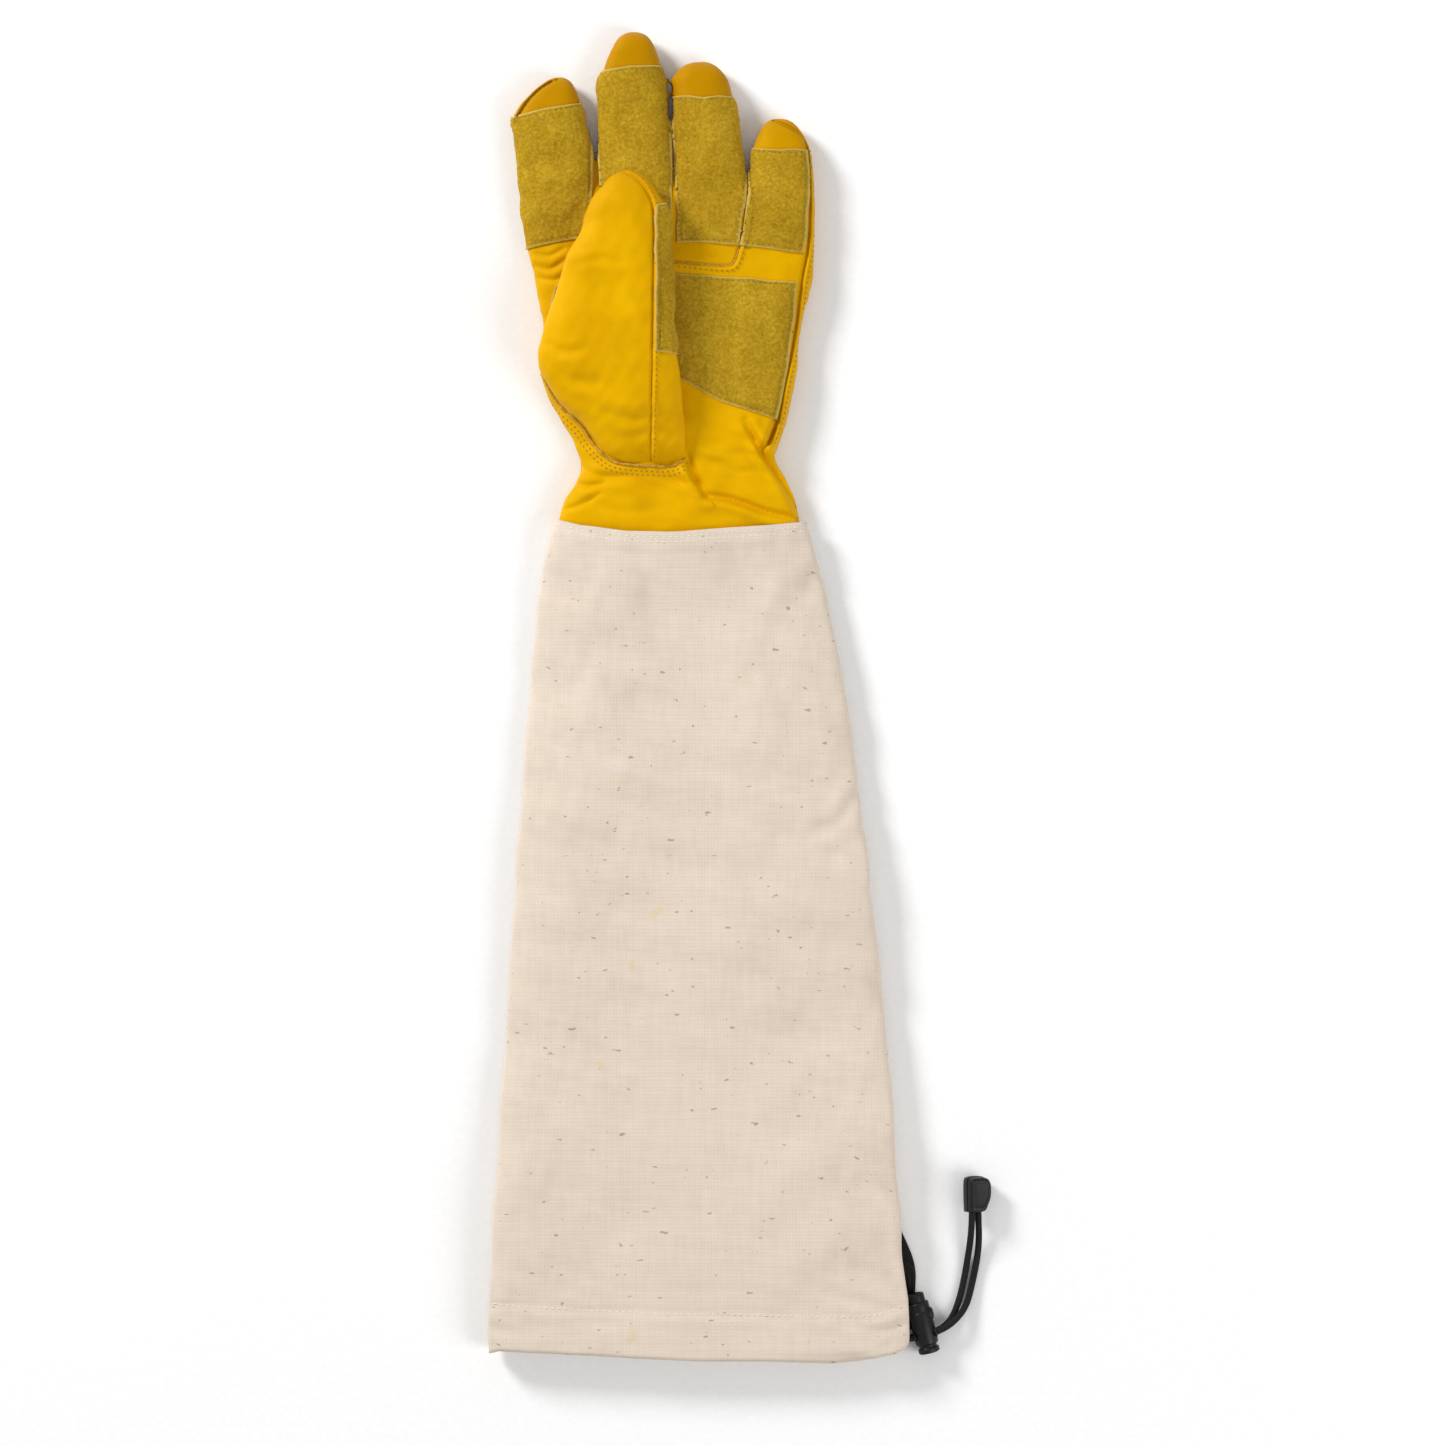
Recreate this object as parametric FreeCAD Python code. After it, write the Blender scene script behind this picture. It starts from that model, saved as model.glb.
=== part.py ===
"""Left-hand beekeeping glove, laid flat with its palm up, in millimetres.

X runs across the hand towards the little finger, Y runs towards the fingertips, and Z points up.
The back of the hand and the sleeve lie on Z = 0.
"""
import FreeCAD, Part
import math
import os

V = FreeCAD.Vector

# Materials
LEATHER = 1.2              # thickness of the leather panels
SUEDE = 1.4                # thickness of the suede patches
CANVAS = 1.0               # thickness of the sleeve cloth
ELASTIC = 0.8              # thickness of the wrist elastic

# Heights of the laid-flat glove
HAND_HEIGHT = 18.0         # outside height of the hand and the sleeve
THUMB_HEIGHT = 20.0        # outside height of the thumb, which lies on the palm

# Clearances
BEND_GAP = 0.3             # between the two sides of a bend
LIFT_GAP = 0.4             # between the palm patch and the thumb that lies over it
LAP_GAP = 0.5              # between the lapped leather and the side of the sleeve
LOCK_GAP = 0.3             # between the lock and the tape

# Wrist and sleeve
WRIST_Y = 114.0            # line where the wrist bends
SLEEVE_TOP = 91.0          # top edge of the canvas
LAP = 8.0                  # length of leather lapped under the canvas
SLEEVE_LENGTH = 441.0      # canvas, from its top edge to the hem
HEM = 25.0                 # height of the hem casing
CORD_TURN_ROOM = 18.0      # width left free beside the casing where the cord turns from front to back
CORD_DIP = 6.0             # how far past the casing the cord's back run stays low
CORD_EXIT_ROOM = 13.0      # width left free beside the casing where the cord leaves the hem
ELASTIC_WIDTH = 8.0        # width of the wrist elastic

# Cords, tape, lock and cord end
CORD = 3.5                 # diameter of the elastic cord
CORD_PLAY = 0.2            # room round the cord in the hem and in the lock
TAPE_THICKNESS = 1.0
LOCK_RADIUS = 6.1          # outside radius of the lock barrel
LOCK_WALL = 1.2
PLUNGER_PLAY = 0.15        # between the plunger and the barrel's bore
TRAVEL = 3.0               # how far the button presses in
SPRING_WIRE = 0.7
SPRING_TURNS = 3
SPRING_PLAY = 0.05         # above and below the spring
SHELL_WALL = 1.2           # wall of the cord end's half shells

# Fingers: centre of the bend line (x, y), lean to the left in degrees, half width at the bend,
# radius of the tip, length from the bend to the tip
FINGERS = {
    "index": (-75.0, 282.0, 8.0, 20.9, 19.6, 46.0),
    "middle": (-33.0, 282.0, 2.5, 19.6, 19.2, 69.0),
    "ring": (5.9, 282.0, 5.7, 18.0, 16.4, 54.2),
    "little": (44.4, 272.0, 4.5, 17.2, 16.4, 33.4),
}
# Crotch between two fingers: x, y, width of the gap
CROTCHES = {
    "index_middle": (-53.3, 277.0, 1.2),
    "middle_ring": (-12.8, 277.0, 0.9),
    "ring_little": (25.4, 267.5, 1.6),
}
# Patches: distance of the top edge from the bend line, margin beside the finger's edge, y of the bottom edge
PATCH_TAPER = 1.2          # how much a patch narrows on each side at its top edge
PATCHES = {
    "index": (26.0, 1.5, 240.0),
    "middle": (49.0, 1.5, 240.0),
    "ring": (35.0, 1.5, 239.0),
    "little": (18.5, 3.0, 237.0),
}
FRONT_SEAM_Y = 229.5       # seam across the base of the middle and ring fingers
FRONT_SEAM_INSET = (1.0, 6.0)  # how far its two ends lie inside the crotches

# Sides of the hand between the wrist and the fingers
HAND_LEFT = [
    (-66.0, WRIST_Y), (-63.0, 126.0), (-71.0, 144.0), (-84.6, 172.0), (-82.0, 196.0), (-90.0, 238.0),
]
HAND_RIGHT = [(45.5, WRIST_Y), (40.5, 126.0), (48.0, 149.0), (53.5, 182.0), (61.8, 240.0)]
# Sleeve: share of its length from the top edge, left x, right x
SLEEVE_STATIONS = [
    (0.0, -77.0, 55.5),
    (0.09, -85.0, 68.0),
    (0.21, -90.0, 78.5),
    (0.45, -97.0, 92.0),
    (0.69, -104.0, 102.0),
    (1.0, -111.0, 110.0),
]

# Thumb: the two ends of its base line, the seam round its root, and its outline
THUMB_LEFT = (-83.2, 169.8)
THUMB_RIGHT = (-6.9, 127.2)
THUMB_ROOT = [(-74.2, 155.0), (-62.0, 144.0), (-56.0, 134.5), (-49.8, 127.8), (-42.4, 123.6), (-25.4, 122.4)]
THUMB_SIDE_LEFT = [(-84.3, 181.8), (-78.0, 202.5), (-62.0, 243.8)]
THUMB_TIP = (-37.6, 275.6)
THUMB_SHOULDERS = ((-56.3, 261.0), (-20.0, 262.0))
THUMB_SIDE_RIGHT = [(-15.0, 248.0), (-12.2, 183.0), (-9.0, 162.0)]
THUMB_SEAM_X = -24.0       # seam between the outer and the inner thumb piece
THUMB_HOLE_EDGE = 3.0      # from the seam round the root to the edge of the hole in the palm
ROOT_DEPTH = 22.0          # from the base line to the foot of the mound at the thumb's root
ROOT_STEP = 2.4            # height of the mound's foot above the palm
ROOT_ROOF = 1.92           # thickness of the mound's sloping top, measured upright
THUMB_PATCH_Y = (181.0, 257.0)
PATCH_EDGE = 0.5           # from the thumb's seam to the patch

PALM_PATCH = [
    (-76.0, 221.0), (-14.3, 223.0), (52.0, 218.9), (48.8, 182.9), (41.3, 147.0), (26.5, 151.6),
    (11.1, 156.4), (-8.5, 167.0), (-30.0, 178.0), (-60.0, 190.0), (-76.0, 203.0),
]

# The lock lies beside the hem; the cords pass through it at LOCK_CENTRE
HEM_Y = SLEEVE_TOP - SLEEVE_LENGTH
HEM_RIGHT = SLEEVE_STATIONS[-1][2]
LOCK_CENTRE = V(HEM_RIGHT + 3.5 + LOCK_RADIUS, HEM_Y + 13.5, LOCK_RADIUS)
LOCK_TURN = 14.3           # degrees that the cords' way through the lock turns from X
BUTTON_END = 22.4          # from the cords to the end of the button
BARREL_TOP = 17.4          # from the cords to the top of the barrel
BARREL_FOOT = 9.9          # from the cords to the foot of the barrel

# Routes of the two free strands from the hem to the cord end: x and y from the lock's centre, then the
# height. In the lock the height is from the lock's centre; past it, it is above a cord lying on the ground.
STRAND_RISE = CORD / 2 + 0.05
LOWER_ROUTE = [
    (-9.0, -2.3, None), (-1.0, -0.35, None), (8.0, 2.1, None), (14.0, 7.3, 0.85), (17.8, 16.1, 0.25),
    (20.6, 27.5, 0.15), (22.6, 39.1, 1.05), (24.1, 50.5, 4.45), (24.7, 61.1, 7.45), (24.7, 69.5, 7.65),
]
UPPER_ROUTE = [
    (-9.0, -2.3, None), (-1.0, -0.35, None), (8.2, 2.2, None), (15.8, 7.1, 4.85), (22.2, 14.9, 1.35),
    (25.2, 26.9, 0.15), (27.7, 38.9, 0.35), (28.7, 50.3, 2.65), (28.1, 60.7, 5.35), (28.1, 69.3, 5.55),
]


def strand_points(route, rise):
    """The route in the glove's own axes; rise is its height above the lock's centre inside the lock."""
    points = []
    for dx, dy, height in route:
        z = LOCK_CENTRE.z + rise if height is None else CORD / 2 + height
        points.append((LOCK_CENTRE.x + dx, LOCK_CENTRE.y + dy, z))
    return points


LOWER_STRAND = strand_points(LOWER_ROUTE, -STRAND_RISE)
UPPER_STRAND = strand_points(UPPER_ROUTE, STRAND_RISE)

# Cord end: where the strands enter it, and its outline and thickness
CORD_END_ENTRY = V(LOCK_CENTRE.x + 26.2, LOCK_CENTRE.y + 65.1, 8.5)
CORD_END_TURN = 30.0       # degrees that the cord end is turned about its length
CORD_END_OUTLINE = [(-4.8, 0.0), (4.4, 0.0), (8.2, 8.0), (8.2, 13.5), (5.5, 18.5), (-4.8, 18.5)]
CORD_END_HALF = 4.6        # half of the cord end's thickness

# The tape comes from behind the sleeve's edge and ends beside the lock
TAPE_PATH = [
    (HEM_RIGHT + x, HEM_Y + y) for x, y in ((-5.5, 74.0), (-1.0, 58.0), (1.2, 44.0), (1.4, 23.0))
]
TAPE_WIDTH = 4.4

# Worked out from the sizes above
HAND_TOP = HAND_HEIGHT - LEATHER
PATCH_TOP = HAND_HEIGHT + SUEDE
THUMB_BASE = PATCH_TOP + LIFT_GAP
THUMB_TOP = THUMB_BASE + THUMB_HEIGHT
HALF_GAP = BEND_GAP / 2
SLICE = 1.0                # how far a cutting shape reaches past what it cuts
ROOM = 300.0               # side of a block that takes in all of the hand
SLEEVE_INSIDE = HAND_HEIGHT - CANVAS


def prism(points, low, high):
    """Flat-sided solid with the outline of the points, between two heights."""
    corners = [V(p[0], p[1], low) for p in points]
    face = Part.Face(Part.makePolygon(corners + corners[:1]))
    return face.extrude(V(0, 0, high - low))


def inset(points, distance):
    """The line of points moved to its left by a distance, with mitred corners."""
    moved = []
    for i, (x, y) in enumerate(points):
        normals = []
        for a, b in ((i - 1, i), (i, i + 1)):
            if a >= 0 and b < len(points):
                dx = points[b][0] - points[a][0]
                dy = points[b][1] - points[a][1]
                run = math.hypot(dx, dy)
                normals.append((-dy / run, dx / run))
        nx = sum(n[0] for n in normals)
        ny = sum(n[1] for n in normals)
        scale = len(normals) * distance / (nx * nx + ny * ny)
        moved.append((x + nx * scale, y + ny * scale))
    return moved


def wall(points, thickness, low, high):
    """Upright strip that follows the points, with its thickness to their left."""
    return prism(points + inset(points, thickness)[::-1], low, high)


def one(shapes):
    """The shapes fused into one clean solid."""
    whole = shapes[0]
    if len(shapes) > 1:
        whole = whole.fuse(shapes[1:])
    return whole.removeSplitter()


class Finger:
    """A finger's own plan frame: u across it, v along it from its bend line."""

    def __init__(self, name):
        self.x, self.y, lean, self.half, self.radius, self.length = FINGERS[name]
        self.lean = math.radians(lean)
        self.round = self.length - self.radius

    def at(self, u, v):
        across = (math.cos(self.lean), math.sin(self.lean))
        return (self.x + u * across[0] - v * across[1], self.y + u * across[1] + v * across[0])

    def side(self, sign, inward=0.0, start=HALF_GAP):
        """The side line from the bend to the round of the tip."""
        root = self.at(sign * (self.half - inward), start)
        return [root, self.at(sign * (self.radius - inward), self.round)]

    def edges(self, inward, z):
        """Outline of the tip: two side lines and the round end."""
        left = [V(*p, z) for p in self.side(-1, inward)]
        right = [V(*p, z) for p in self.side(1, inward)]
        top = V(*self.at(0, self.length - inward), z)
        return [
            Part.LineSegment(left[0], left[1]).toShape(),
            Part.Arc(left[1], top, right[1]).toShape(),
            Part.LineSegment(right[1], right[0]).toShape(),
            Part.LineSegment(right[0], left[0]).toShape(),
        ]

    def plate(self, low, high, inward=0.0):
        face = Part.Face(Part.Wire(self.edges(inward, low)))
        return face.extrude(V(0, 0, high - low))

    def round_wall(self, low, high):
        """Wall round the end of the tip."""
        outer = [V(*p, low) for p in (self.at(-self.radius, self.round), self.at(0, self.length),
                                      self.at(self.radius, self.round))]
        reach = self.radius - LEATHER
        inner = [V(*p, low) for p in (self.at(-reach, self.round), self.at(0, self.round + reach),
                                      self.at(reach, self.round))]
        wire = Part.Wire([
            Part.Arc(*outer).toShape(),
            Part.LineSegment(outer[2], inner[2]).toShape(),
            Part.Arc(*inner[::-1]).toShape(),
            Part.LineSegment(inner[0], outer[0]).toShape(),
        ])
        return Part.Face(wire).extrude(V(0, 0, high - low))

    def side_wall(self, sign, low, high):
        outer = self.side(sign)
        inner = self.side(sign, LEATHER)
        return prism(outer + inner[::-1], low, high)


FINGER = {name: Finger(name) for name in FINGERS}


def bend_points(name):
    """Left and right ends of a finger's bend line on the hand's side."""
    finger = FINGER[name]
    return finger.at(-finger.half, -HALF_GAP), finger.at(finger.half, -HALF_GAP)


def crotch_sides(name):
    x, y, width = CROTCHES[name]
    return (x - width / 2, y), (x + width / 2, y)


def shifted_wrist(points):
    """The side of the hand, starting just past the wrist's bend."""
    return [(points[0][0], WRIST_Y + HALF_GAP)] + points[1:]


def fingertips():
    nodes = {}
    walls = {
        "index": ("outer", "index_middle"),
        "middle": ("index_middle", "middle_ring"),
        "ring": ("middle_ring", "ring_little"),
        "little": ("ring_little", "outer"),
    }
    for name, finger in FINGER.items():
        back = [finger.plate(0, LEATHER), finger.round_wall(LEATHER, HAND_TOP)]
        for sign, crotch in zip((-1, 1), walls[name]):
            side = finger.side_wall(sign, LEATHER, HAND_TOP)
            if crotch == "outer":
                back.append(side)
            else:
                nodes[f"{name}_fourchette_{crotch}"] = side
        nodes[f"{name}_tip_back"] = one(back)
        nodes[f"{name}_tip_front"] = finger.plate(HAND_TOP, HAND_HEIGHT)
        reach, margin, _ = PATCHES[name]
        u = finger.half - margin
        far = u - PATCH_TAPER
        corners = ((-u, HALF_GAP), (u, HALF_GAP), (far, reach), (-far, reach))
        patch = [finger.at(*corner) for corner in corners]
        outline = finger.plate(HAND_HEIGHT, PATCH_TOP, inward=margin)
        nodes[f"{name}_patch_tip"] = prism(patch, HAND_HEIGHT, PATCH_TOP).common(outline)
    return nodes


def patch_bases():
    nodes = {}
    for name, (_, margin, bottom) in PATCHES.items():
        finger = FINGER[name]
        u = finger.half - margin
        drop = finger.y - bottom
        quad = [finger.at(-u, -HALF_GAP), finger.at(u, -HALF_GAP), finger.at(u, -drop), finger.at(-u, -drop)]
        nodes[f"{name}_patch_base"] = prism(quad, HAND_HEIGHT, PATCH_TOP)
    return nodes


def fourchette_crotches():
    """The bottoms of the fourchettes, where the walls of two fingers meet."""
    nodes = {}
    names = list(FINGERS)
    for first, second in zip(names, names[1:]):
        key = f"{first}_{second}"
        left = FINGER[first]
        right = FINGER[second]
        a, b = crotch_sides(key)
        outline = [
            left.at(left.half - LEATHER, -HALF_GAP), left.at(left.half, -HALF_GAP), a, b,
            right.at(-right.half, -HALF_GAP), right.at(LEATHER - right.half, -HALF_GAP),
            (b[0] + LEATHER, b[1] - LEATHER), (a[0] - LEATHER, a[1] - LEATHER),
        ]
        nodes[f"fourchette_{key}"] = prism(outline, LEATHER, HAND_TOP)
    return nodes


def hand_shell():
    """Back panel, palm panel with its thumb hole, and the front piece of the middle and ring fingers."""
    left = shifted_wrist(HAND_LEFT)
    right = shifted_wrist(HAND_RIGHT)
    bends = {name: bend_points(name) for name in FINGERS}
    crotch = {name: crotch_sides(name) for name in CROTCHES}
    index_side = left + [bends["index"][0], bends["index"][1], crotch["index_middle"][0]]
    little_side = [crotch["ring_little"][1], bends["little"][0], bends["little"][1]] + right[::-1]
    middle_fingers = [
        crotch["index_middle"][1], bends["middle"][0], bends["middle"][1], *crotch["middle_ring"],
        bends["ring"][0], bends["ring"][1], crotch["ring_little"][0],
    ]
    plan = index_side + middle_fingers + little_side
    back = prism(plan, 0, LEATHER)
    left_wall = wall((left + [bends["index"][0]])[::-1], LEATHER, LEATHER, HAND_TOP)
    right_wall = wall(right + [bends["little"][1]], LEATHER, LEATHER, HAND_TOP)
    walls = left_wall.fuse(right_wall).common(prism(plan, LEATHER, HAND_TOP))

    seam_left = (crotch["index_middle"][1][0] + FRONT_SEAM_INSET[0], FRONT_SEAM_Y)
    seam_right = (crotch["ring_little"][0][0] - FRONT_SEAM_INSET[1], FRONT_SEAM_Y)
    front = prism(middle_fingers + [seam_right, seam_left], HAND_TOP, HAND_HEIGHT)
    rest_of_palm = index_side + [crotch["index_middle"][1], seam_left, seam_right, crotch["ring_little"][0]]
    palm = prism(rest_of_palm + little_side, HAND_TOP, HAND_HEIGHT)
    hole = inset([THUMB_RIGHT, THUMB_LEFT] + THUMB_ROOT + [THUMB_RIGHT], THUMB_HOLE_EDGE)[1:]
    palm = palm.cut(prism(hole, HAND_TOP - SLICE, HAND_HEIGHT + SLICE))
    return {"back_panel": one([back, walls]), "middle_ring_front": front, "palm_panel": palm}


def wrist_elastic():
    """Elastic band inside the back panel, where the leather is gathered."""
    low = HAND_LEFT[1][1] - ELASTIC_WIDTH / 2
    high = HAND_LEFT[1][1] + ELASTIC_WIDTH / 2
    left = HAND_LEFT[1][0] + 3 * LEATHER
    right = HAND_RIGHT[1][0] - 3 * LEATHER
    band = [(left, low), (right, low), (right, high), (left, high)]
    return prism(band, LEATHER, LEATHER + ELASTIC)


def base_direction():
    """Unit vector along the thumb's base line, and the line's length."""
    line = V(*THUMB_RIGHT, 0) - V(*THUMB_LEFT, 0)
    return V(line).normalize(), line.Length


def base_line(distance):
    """The thumb's base line moved towards the tip of the thumb by a distance."""
    along, _ = base_direction()
    return [(p[0] - along.y * distance, p[1] + along.x * distance) for p in (THUMB_LEFT, THUMB_RIGHT)]


def below_root_slope(drop):
    """Everything below the slope from the top of the thumb down to the foot of the mound, less a drop."""
    along, length = base_direction()
    past = 2.0
    foot = HAND_HEIGHT + ROOT_STEP
    start = V(*base_line(past)[0], 0)
    back = V(*base_line(-ROOT_DEPTH)[0], 0)
    top = THUMB_TOP + (THUMB_TOP - foot) * past / ROOT_DEPTH
    corners = [
        start + V(0, 0, HAND_HEIGHT - SLICE),
        start + V(0, 0, top - drop),
        back + V(0, 0, foot - drop),
        back + V(0, 0, HAND_HEIGHT - SLICE),
    ]
    overrun = along * 10
    face = Part.Face(Part.makePolygon([c - overrun for c in corners + corners[:1]]))
    return face.extrude(along * length + overrun * 2)


def thumb_root():
    """The mound of leather between the U-shaped seam and the thumb's base line, sloping down to the palm."""
    ends = base_line(-HALF_GAP)
    outline = [ends[0]] + THUMB_ROOT + [ends[1]]
    ceiling = THUMB_TOP + THUMB_HEIGHT
    outer = prism(outline, HAND_HEIGHT, ceiling).common(below_root_slope(0))
    opening = inset(outline, LEATHER) + base_line(THUMB_HOLE_EDGE)[::-1]
    inner = prism(opening, HAND_HEIGHT - SLICE, ceiling).common(below_root_slope(ROOT_ROOF))
    return outer.cut(inner)


def thumb():
    """Outer piece (underside, left wall, tip and left half of the top), inner piece and suede patch."""
    start = base_line(HALF_GAP)
    left_side = [start[0]] + THUMB_SIDE_LEFT + [THUMB_SHOULDERS[0], THUMB_TIP]
    right_side = [THUMB_SHOULDERS[1]] + THUMB_SIDE_RIGHT + [start[1]]
    outline = left_side + right_side
    plan = prism(outline, THUMB_BASE, THUMB_TOP)
    roof = THUMB_TOP - LEATHER
    floor = THUMB_BASE + LEATHER
    left_half = Part.makeBox(ROOM, ROOM, ROOM, V(THUMB_SEAM_X - ROOM, 0, 0))
    right_half = Part.makeBox(ROOM, ROOM, ROOM, V(THUMB_SEAM_X, 0, 0))
    top = prism(outline, roof, THUMB_TOP)
    underside = prism(outline, THUMB_BASE, floor)
    left_wall = wall((left_side + right_side[:1])[::-1], LEATHER, floor, roof).common(plan)
    right_wall = wall(right_side[::-1], LEATHER, floor, roof).common(plan)
    outer = one([underside, left_wall.cut(right_wall), top.common(left_half)])
    inner = one([right_wall, top.common(right_half)]).cut(outer)

    low, high = THUMB_PATCH_Y
    band = Part.makeBox(ROOM, high - low, SUEDE, V(THUMB_SEAM_X + PATCH_EDGE, low, THUMB_TOP))
    edge_strip = inset(right_side, SUEDE) + inset(right_side, -THUMB_HEIGHT)[::-1]
    skin = prism(edge_strip, THUMB_TOP, THUMB_TOP + SUEDE)
    side = prism(right_side + inset(right_side, SUEDE)[::-1], THUMB_BASE + 3 * LEATHER, THUMB_TOP + SUEDE)
    length = Part.makeBox(ROOM, high - low, ROOM, V(THUMB_SEAM_X, low, 0))
    patch = one([band.common(skin), side.common(length)])
    return {"thumb_outer": outer, "thumb_inner": inner, "thumb_patch": patch}


def sleeve_sides(inward=0.0):
    """Left and right edges of the sleeve, from its top edge to the hem."""
    left = [(a + inward, SLEEVE_TOP - share * SLEEVE_LENGTH) for share, a, _ in SLEEVE_STATIONS]
    right = [(b - inward, SLEEVE_TOP - share * SLEEVE_LENGTH) for share, _, b in SLEEVE_STATIONS]
    return left, right


def sleeve():
    """Canvas back and front, joined down both sides, and the hem casings inside them."""
    left, right = sleeve_sides()
    outline = left[::-1] + right
    back = prism(outline, 0, CANVAS)
    top = prism(outline, SLEEVE_INSIDE, HAND_HEIGHT)
    left_wall = wall(left, CANVAS, CANVAS, SLEEVE_INSIDE)
    right_wall = wall(right[::-1], CANVAS, CANVAS, SLEEVE_INSIDE)
    exit_y = LOWER_STRAND[0][1]
    slot_corner = V(right[-1][0] - CORD, exit_y - CORD, CANVAS)
    exit_slot = Part.makeBox(2 * CORD, 2 * CORD, SLEEVE_INSIDE, slot_corner)
    walls = left_wall.fuse(right_wall).common(prism(outline, CANVAS, SLEEVE_INSIDE)).cut(exit_slot)
    nodes = {"sleeve_back": back, "sleeve_front": one([top, walls])}

    channel = CORD + 2 * CORD_PLAY
    low_x = left[-1][0] + CORD_TURN_ROOM
    high_x = right[-1][0] - CORD_EXIT_ROOM
    for name, skin, inward in (("hem_back", CANVAS, 1), ("hem_front", SLEEVE_INSIDE, -1)):
        far = skin + inward * channel
        inner = skin + inward * (channel + CANVAS)
        flat = Part.makeBox(high_x - low_x, HEM, CANVAS, V(low_x, HEM_Y, min(far, inner)))
        webs = [
            Part.makeBox(high_x - low_x, CANVAS, channel, V(low_x, y, min(far, skin)))
            for y in (HEM_Y, HEM_Y + HEM - CANVAS)
        ]
        nodes[name] = one([flat] + webs)
    return nodes


def lower_leather():
    """The leather below the wrist's bend, lapped inside the top edge of the canvas."""
    left, right = sleeve_sides(CANVAS + LAP_GAP)
    lap_y = SLEEVE_TOP - LAP
    sides = [(HAND_LEFT[0][0], WRIST_Y - HALF_GAP), left[0], (left[0][0], lap_y)]
    far_sides = [(HAND_RIGHT[0][0], WRIST_Y - HALF_GAP), right[0], (right[0][0], lap_y)]
    outline = sides[::-1] + far_sides
    low = CANVAS + LEATHER
    high = SLEEVE_INSIDE - LEATHER
    back = prism(outline, CANVAS, low)
    walls = wall(sides, LEATHER, low, high).fuse(wall(far_sides[::-1], LEATHER, low, high))
    walls = walls.common(prism(outline, low, high))
    return {"wrist_back": one([back, walls]), "wrist_front": prism(outline, high, SLEEVE_INSIDE)}


def cord_path(points):
    """Straight runs joined by tangent arcs, each as large as its runs allow, and the smallest radius."""
    route = [V(*p) for p in points]
    edges = []
    here = route[0]
    radii = []
    for a, corner, b in zip(route, route[1:], route[2:]):
        into = (corner - a).normalize()
        out = (b - corner).normalize()
        turn = into.getAngle(out)
        cut = 0.45 * min((corner - a).Length, (b - corner).Length)
        radii.append(cut / math.tan(turn / 2))
        start = corner - into * cut
        end = corner + out * cut
        middle = (out - into).normalize()
        centre = corner + middle * math.hypot(radii[-1], cut)
        edges.append(Part.LineSegment(here, start).toShape())
        edges.append(Part.Arc(start, centre - middle * radii[-1], end).toShape())
        here = end
    edges.append(Part.LineSegment(here, route[-1]).toShape())
    return Part.Wire(edges), min(radii)


def tube(points, name):
    path, smallest = cord_path(points)
    start = V(*points[0])
    circle = Part.Wire(Part.makeCircle(CORD / 2, start, V(*points[1]) - start))
    solid = path.makePipeShell([circle], True, False)
    section = math.pi * CORD * CORD / 4
    print(f"{name}: length {path.Length:.1f}, smallest radius {smallest:.1f}, "
          f"volume / section x length {solid.Volume / (section * path.Length):.4f}")
    return solid


def hem_drawcord():
    """The cord inside the hem: front run, a half turn at the far side, and the back run, to the exit."""
    left, right = sleeve_sides()
    y = LOWER_STRAND[0][1]
    back_z = CANVAS + CORD_PLAY + CORD / 2
    front_z = SLEEVE_INSIDE - CORD_PLAY - CORD / 2
    turn = (front_z - back_z) / 2
    far_x = left[-1][0] + CANVAS + CORD + 4 * CORD_PLAY + turn
    near_x = right[-1][0] - CORD_EXIT_ROOM
    exit_x = LOWER_STRAND[0][0]
    half_turn = Part.Arc(V(far_x, y, back_z), V(far_x - turn, y, back_z + turn), V(far_x, y, front_z))
    back_run = [(exit_x, LOWER_STRAND[0][2]), (near_x + CORD_DIP, back_z), (near_x, back_z), (far_x, back_z)]
    front_run = [(far_x, front_z), (near_x, front_z), (exit_x, UPPER_STRAND[0][2])]
    runs = [[V(x, y, z) for x, z in run] for run in (back_run, front_run)]
    edges = [Part.LineSegment(a, b).toShape() for a, b in zip(runs[0], runs[0][1:])]
    edges.append(half_turn.toShape())
    edges += [Part.LineSegment(a, b).toShape() for a, b in zip(runs[1], runs[1][1:])]
    path = Part.Wire(edges)
    start = runs[0][0]
    circle = Part.Wire(Part.makeCircle(CORD / 2, start, runs[0][1] - start))
    return path.makePipeShell([circle], True, False, 1)


def lock_axis():
    turn = math.radians(LOCK_TURN)
    return V(math.sin(turn), -math.cos(turn), 0)


def lock_box(low, high, half_height, width=4 * LOCK_RADIUS):
    """A box across the lock, between two distances along its axis."""
    box = Part.makeBox(width, high - low, 2 * half_height, V(-width / 2, -high, -half_height))
    box.rotate(V(0, 0, 0), V(0, 0, 1), LOCK_TURN)
    box.translate(LOCK_CENTRE)
    return box


def coil_spring(room, outside):
    """Compression spring of round wire, standing on Z = 0."""
    radius = outside - 2 * SPRING_WIRE
    height = room - 2 * SPRING_PLAY - SPRING_WIRE
    helix = Part.Wire(Part.makeHelix(height / SPRING_TURNS, height, radius))
    ring = Part.Wire(Part.makeCircle(SPRING_WIRE / 2, V(radius, 0, 0), V(0, 1, 0)))
    spring = helix.makePipeShell([ring], True, True)
    spring.translate(V(0, 0, SPRING_WIRE / 2 + SPRING_PLAY))
    return spring


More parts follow.
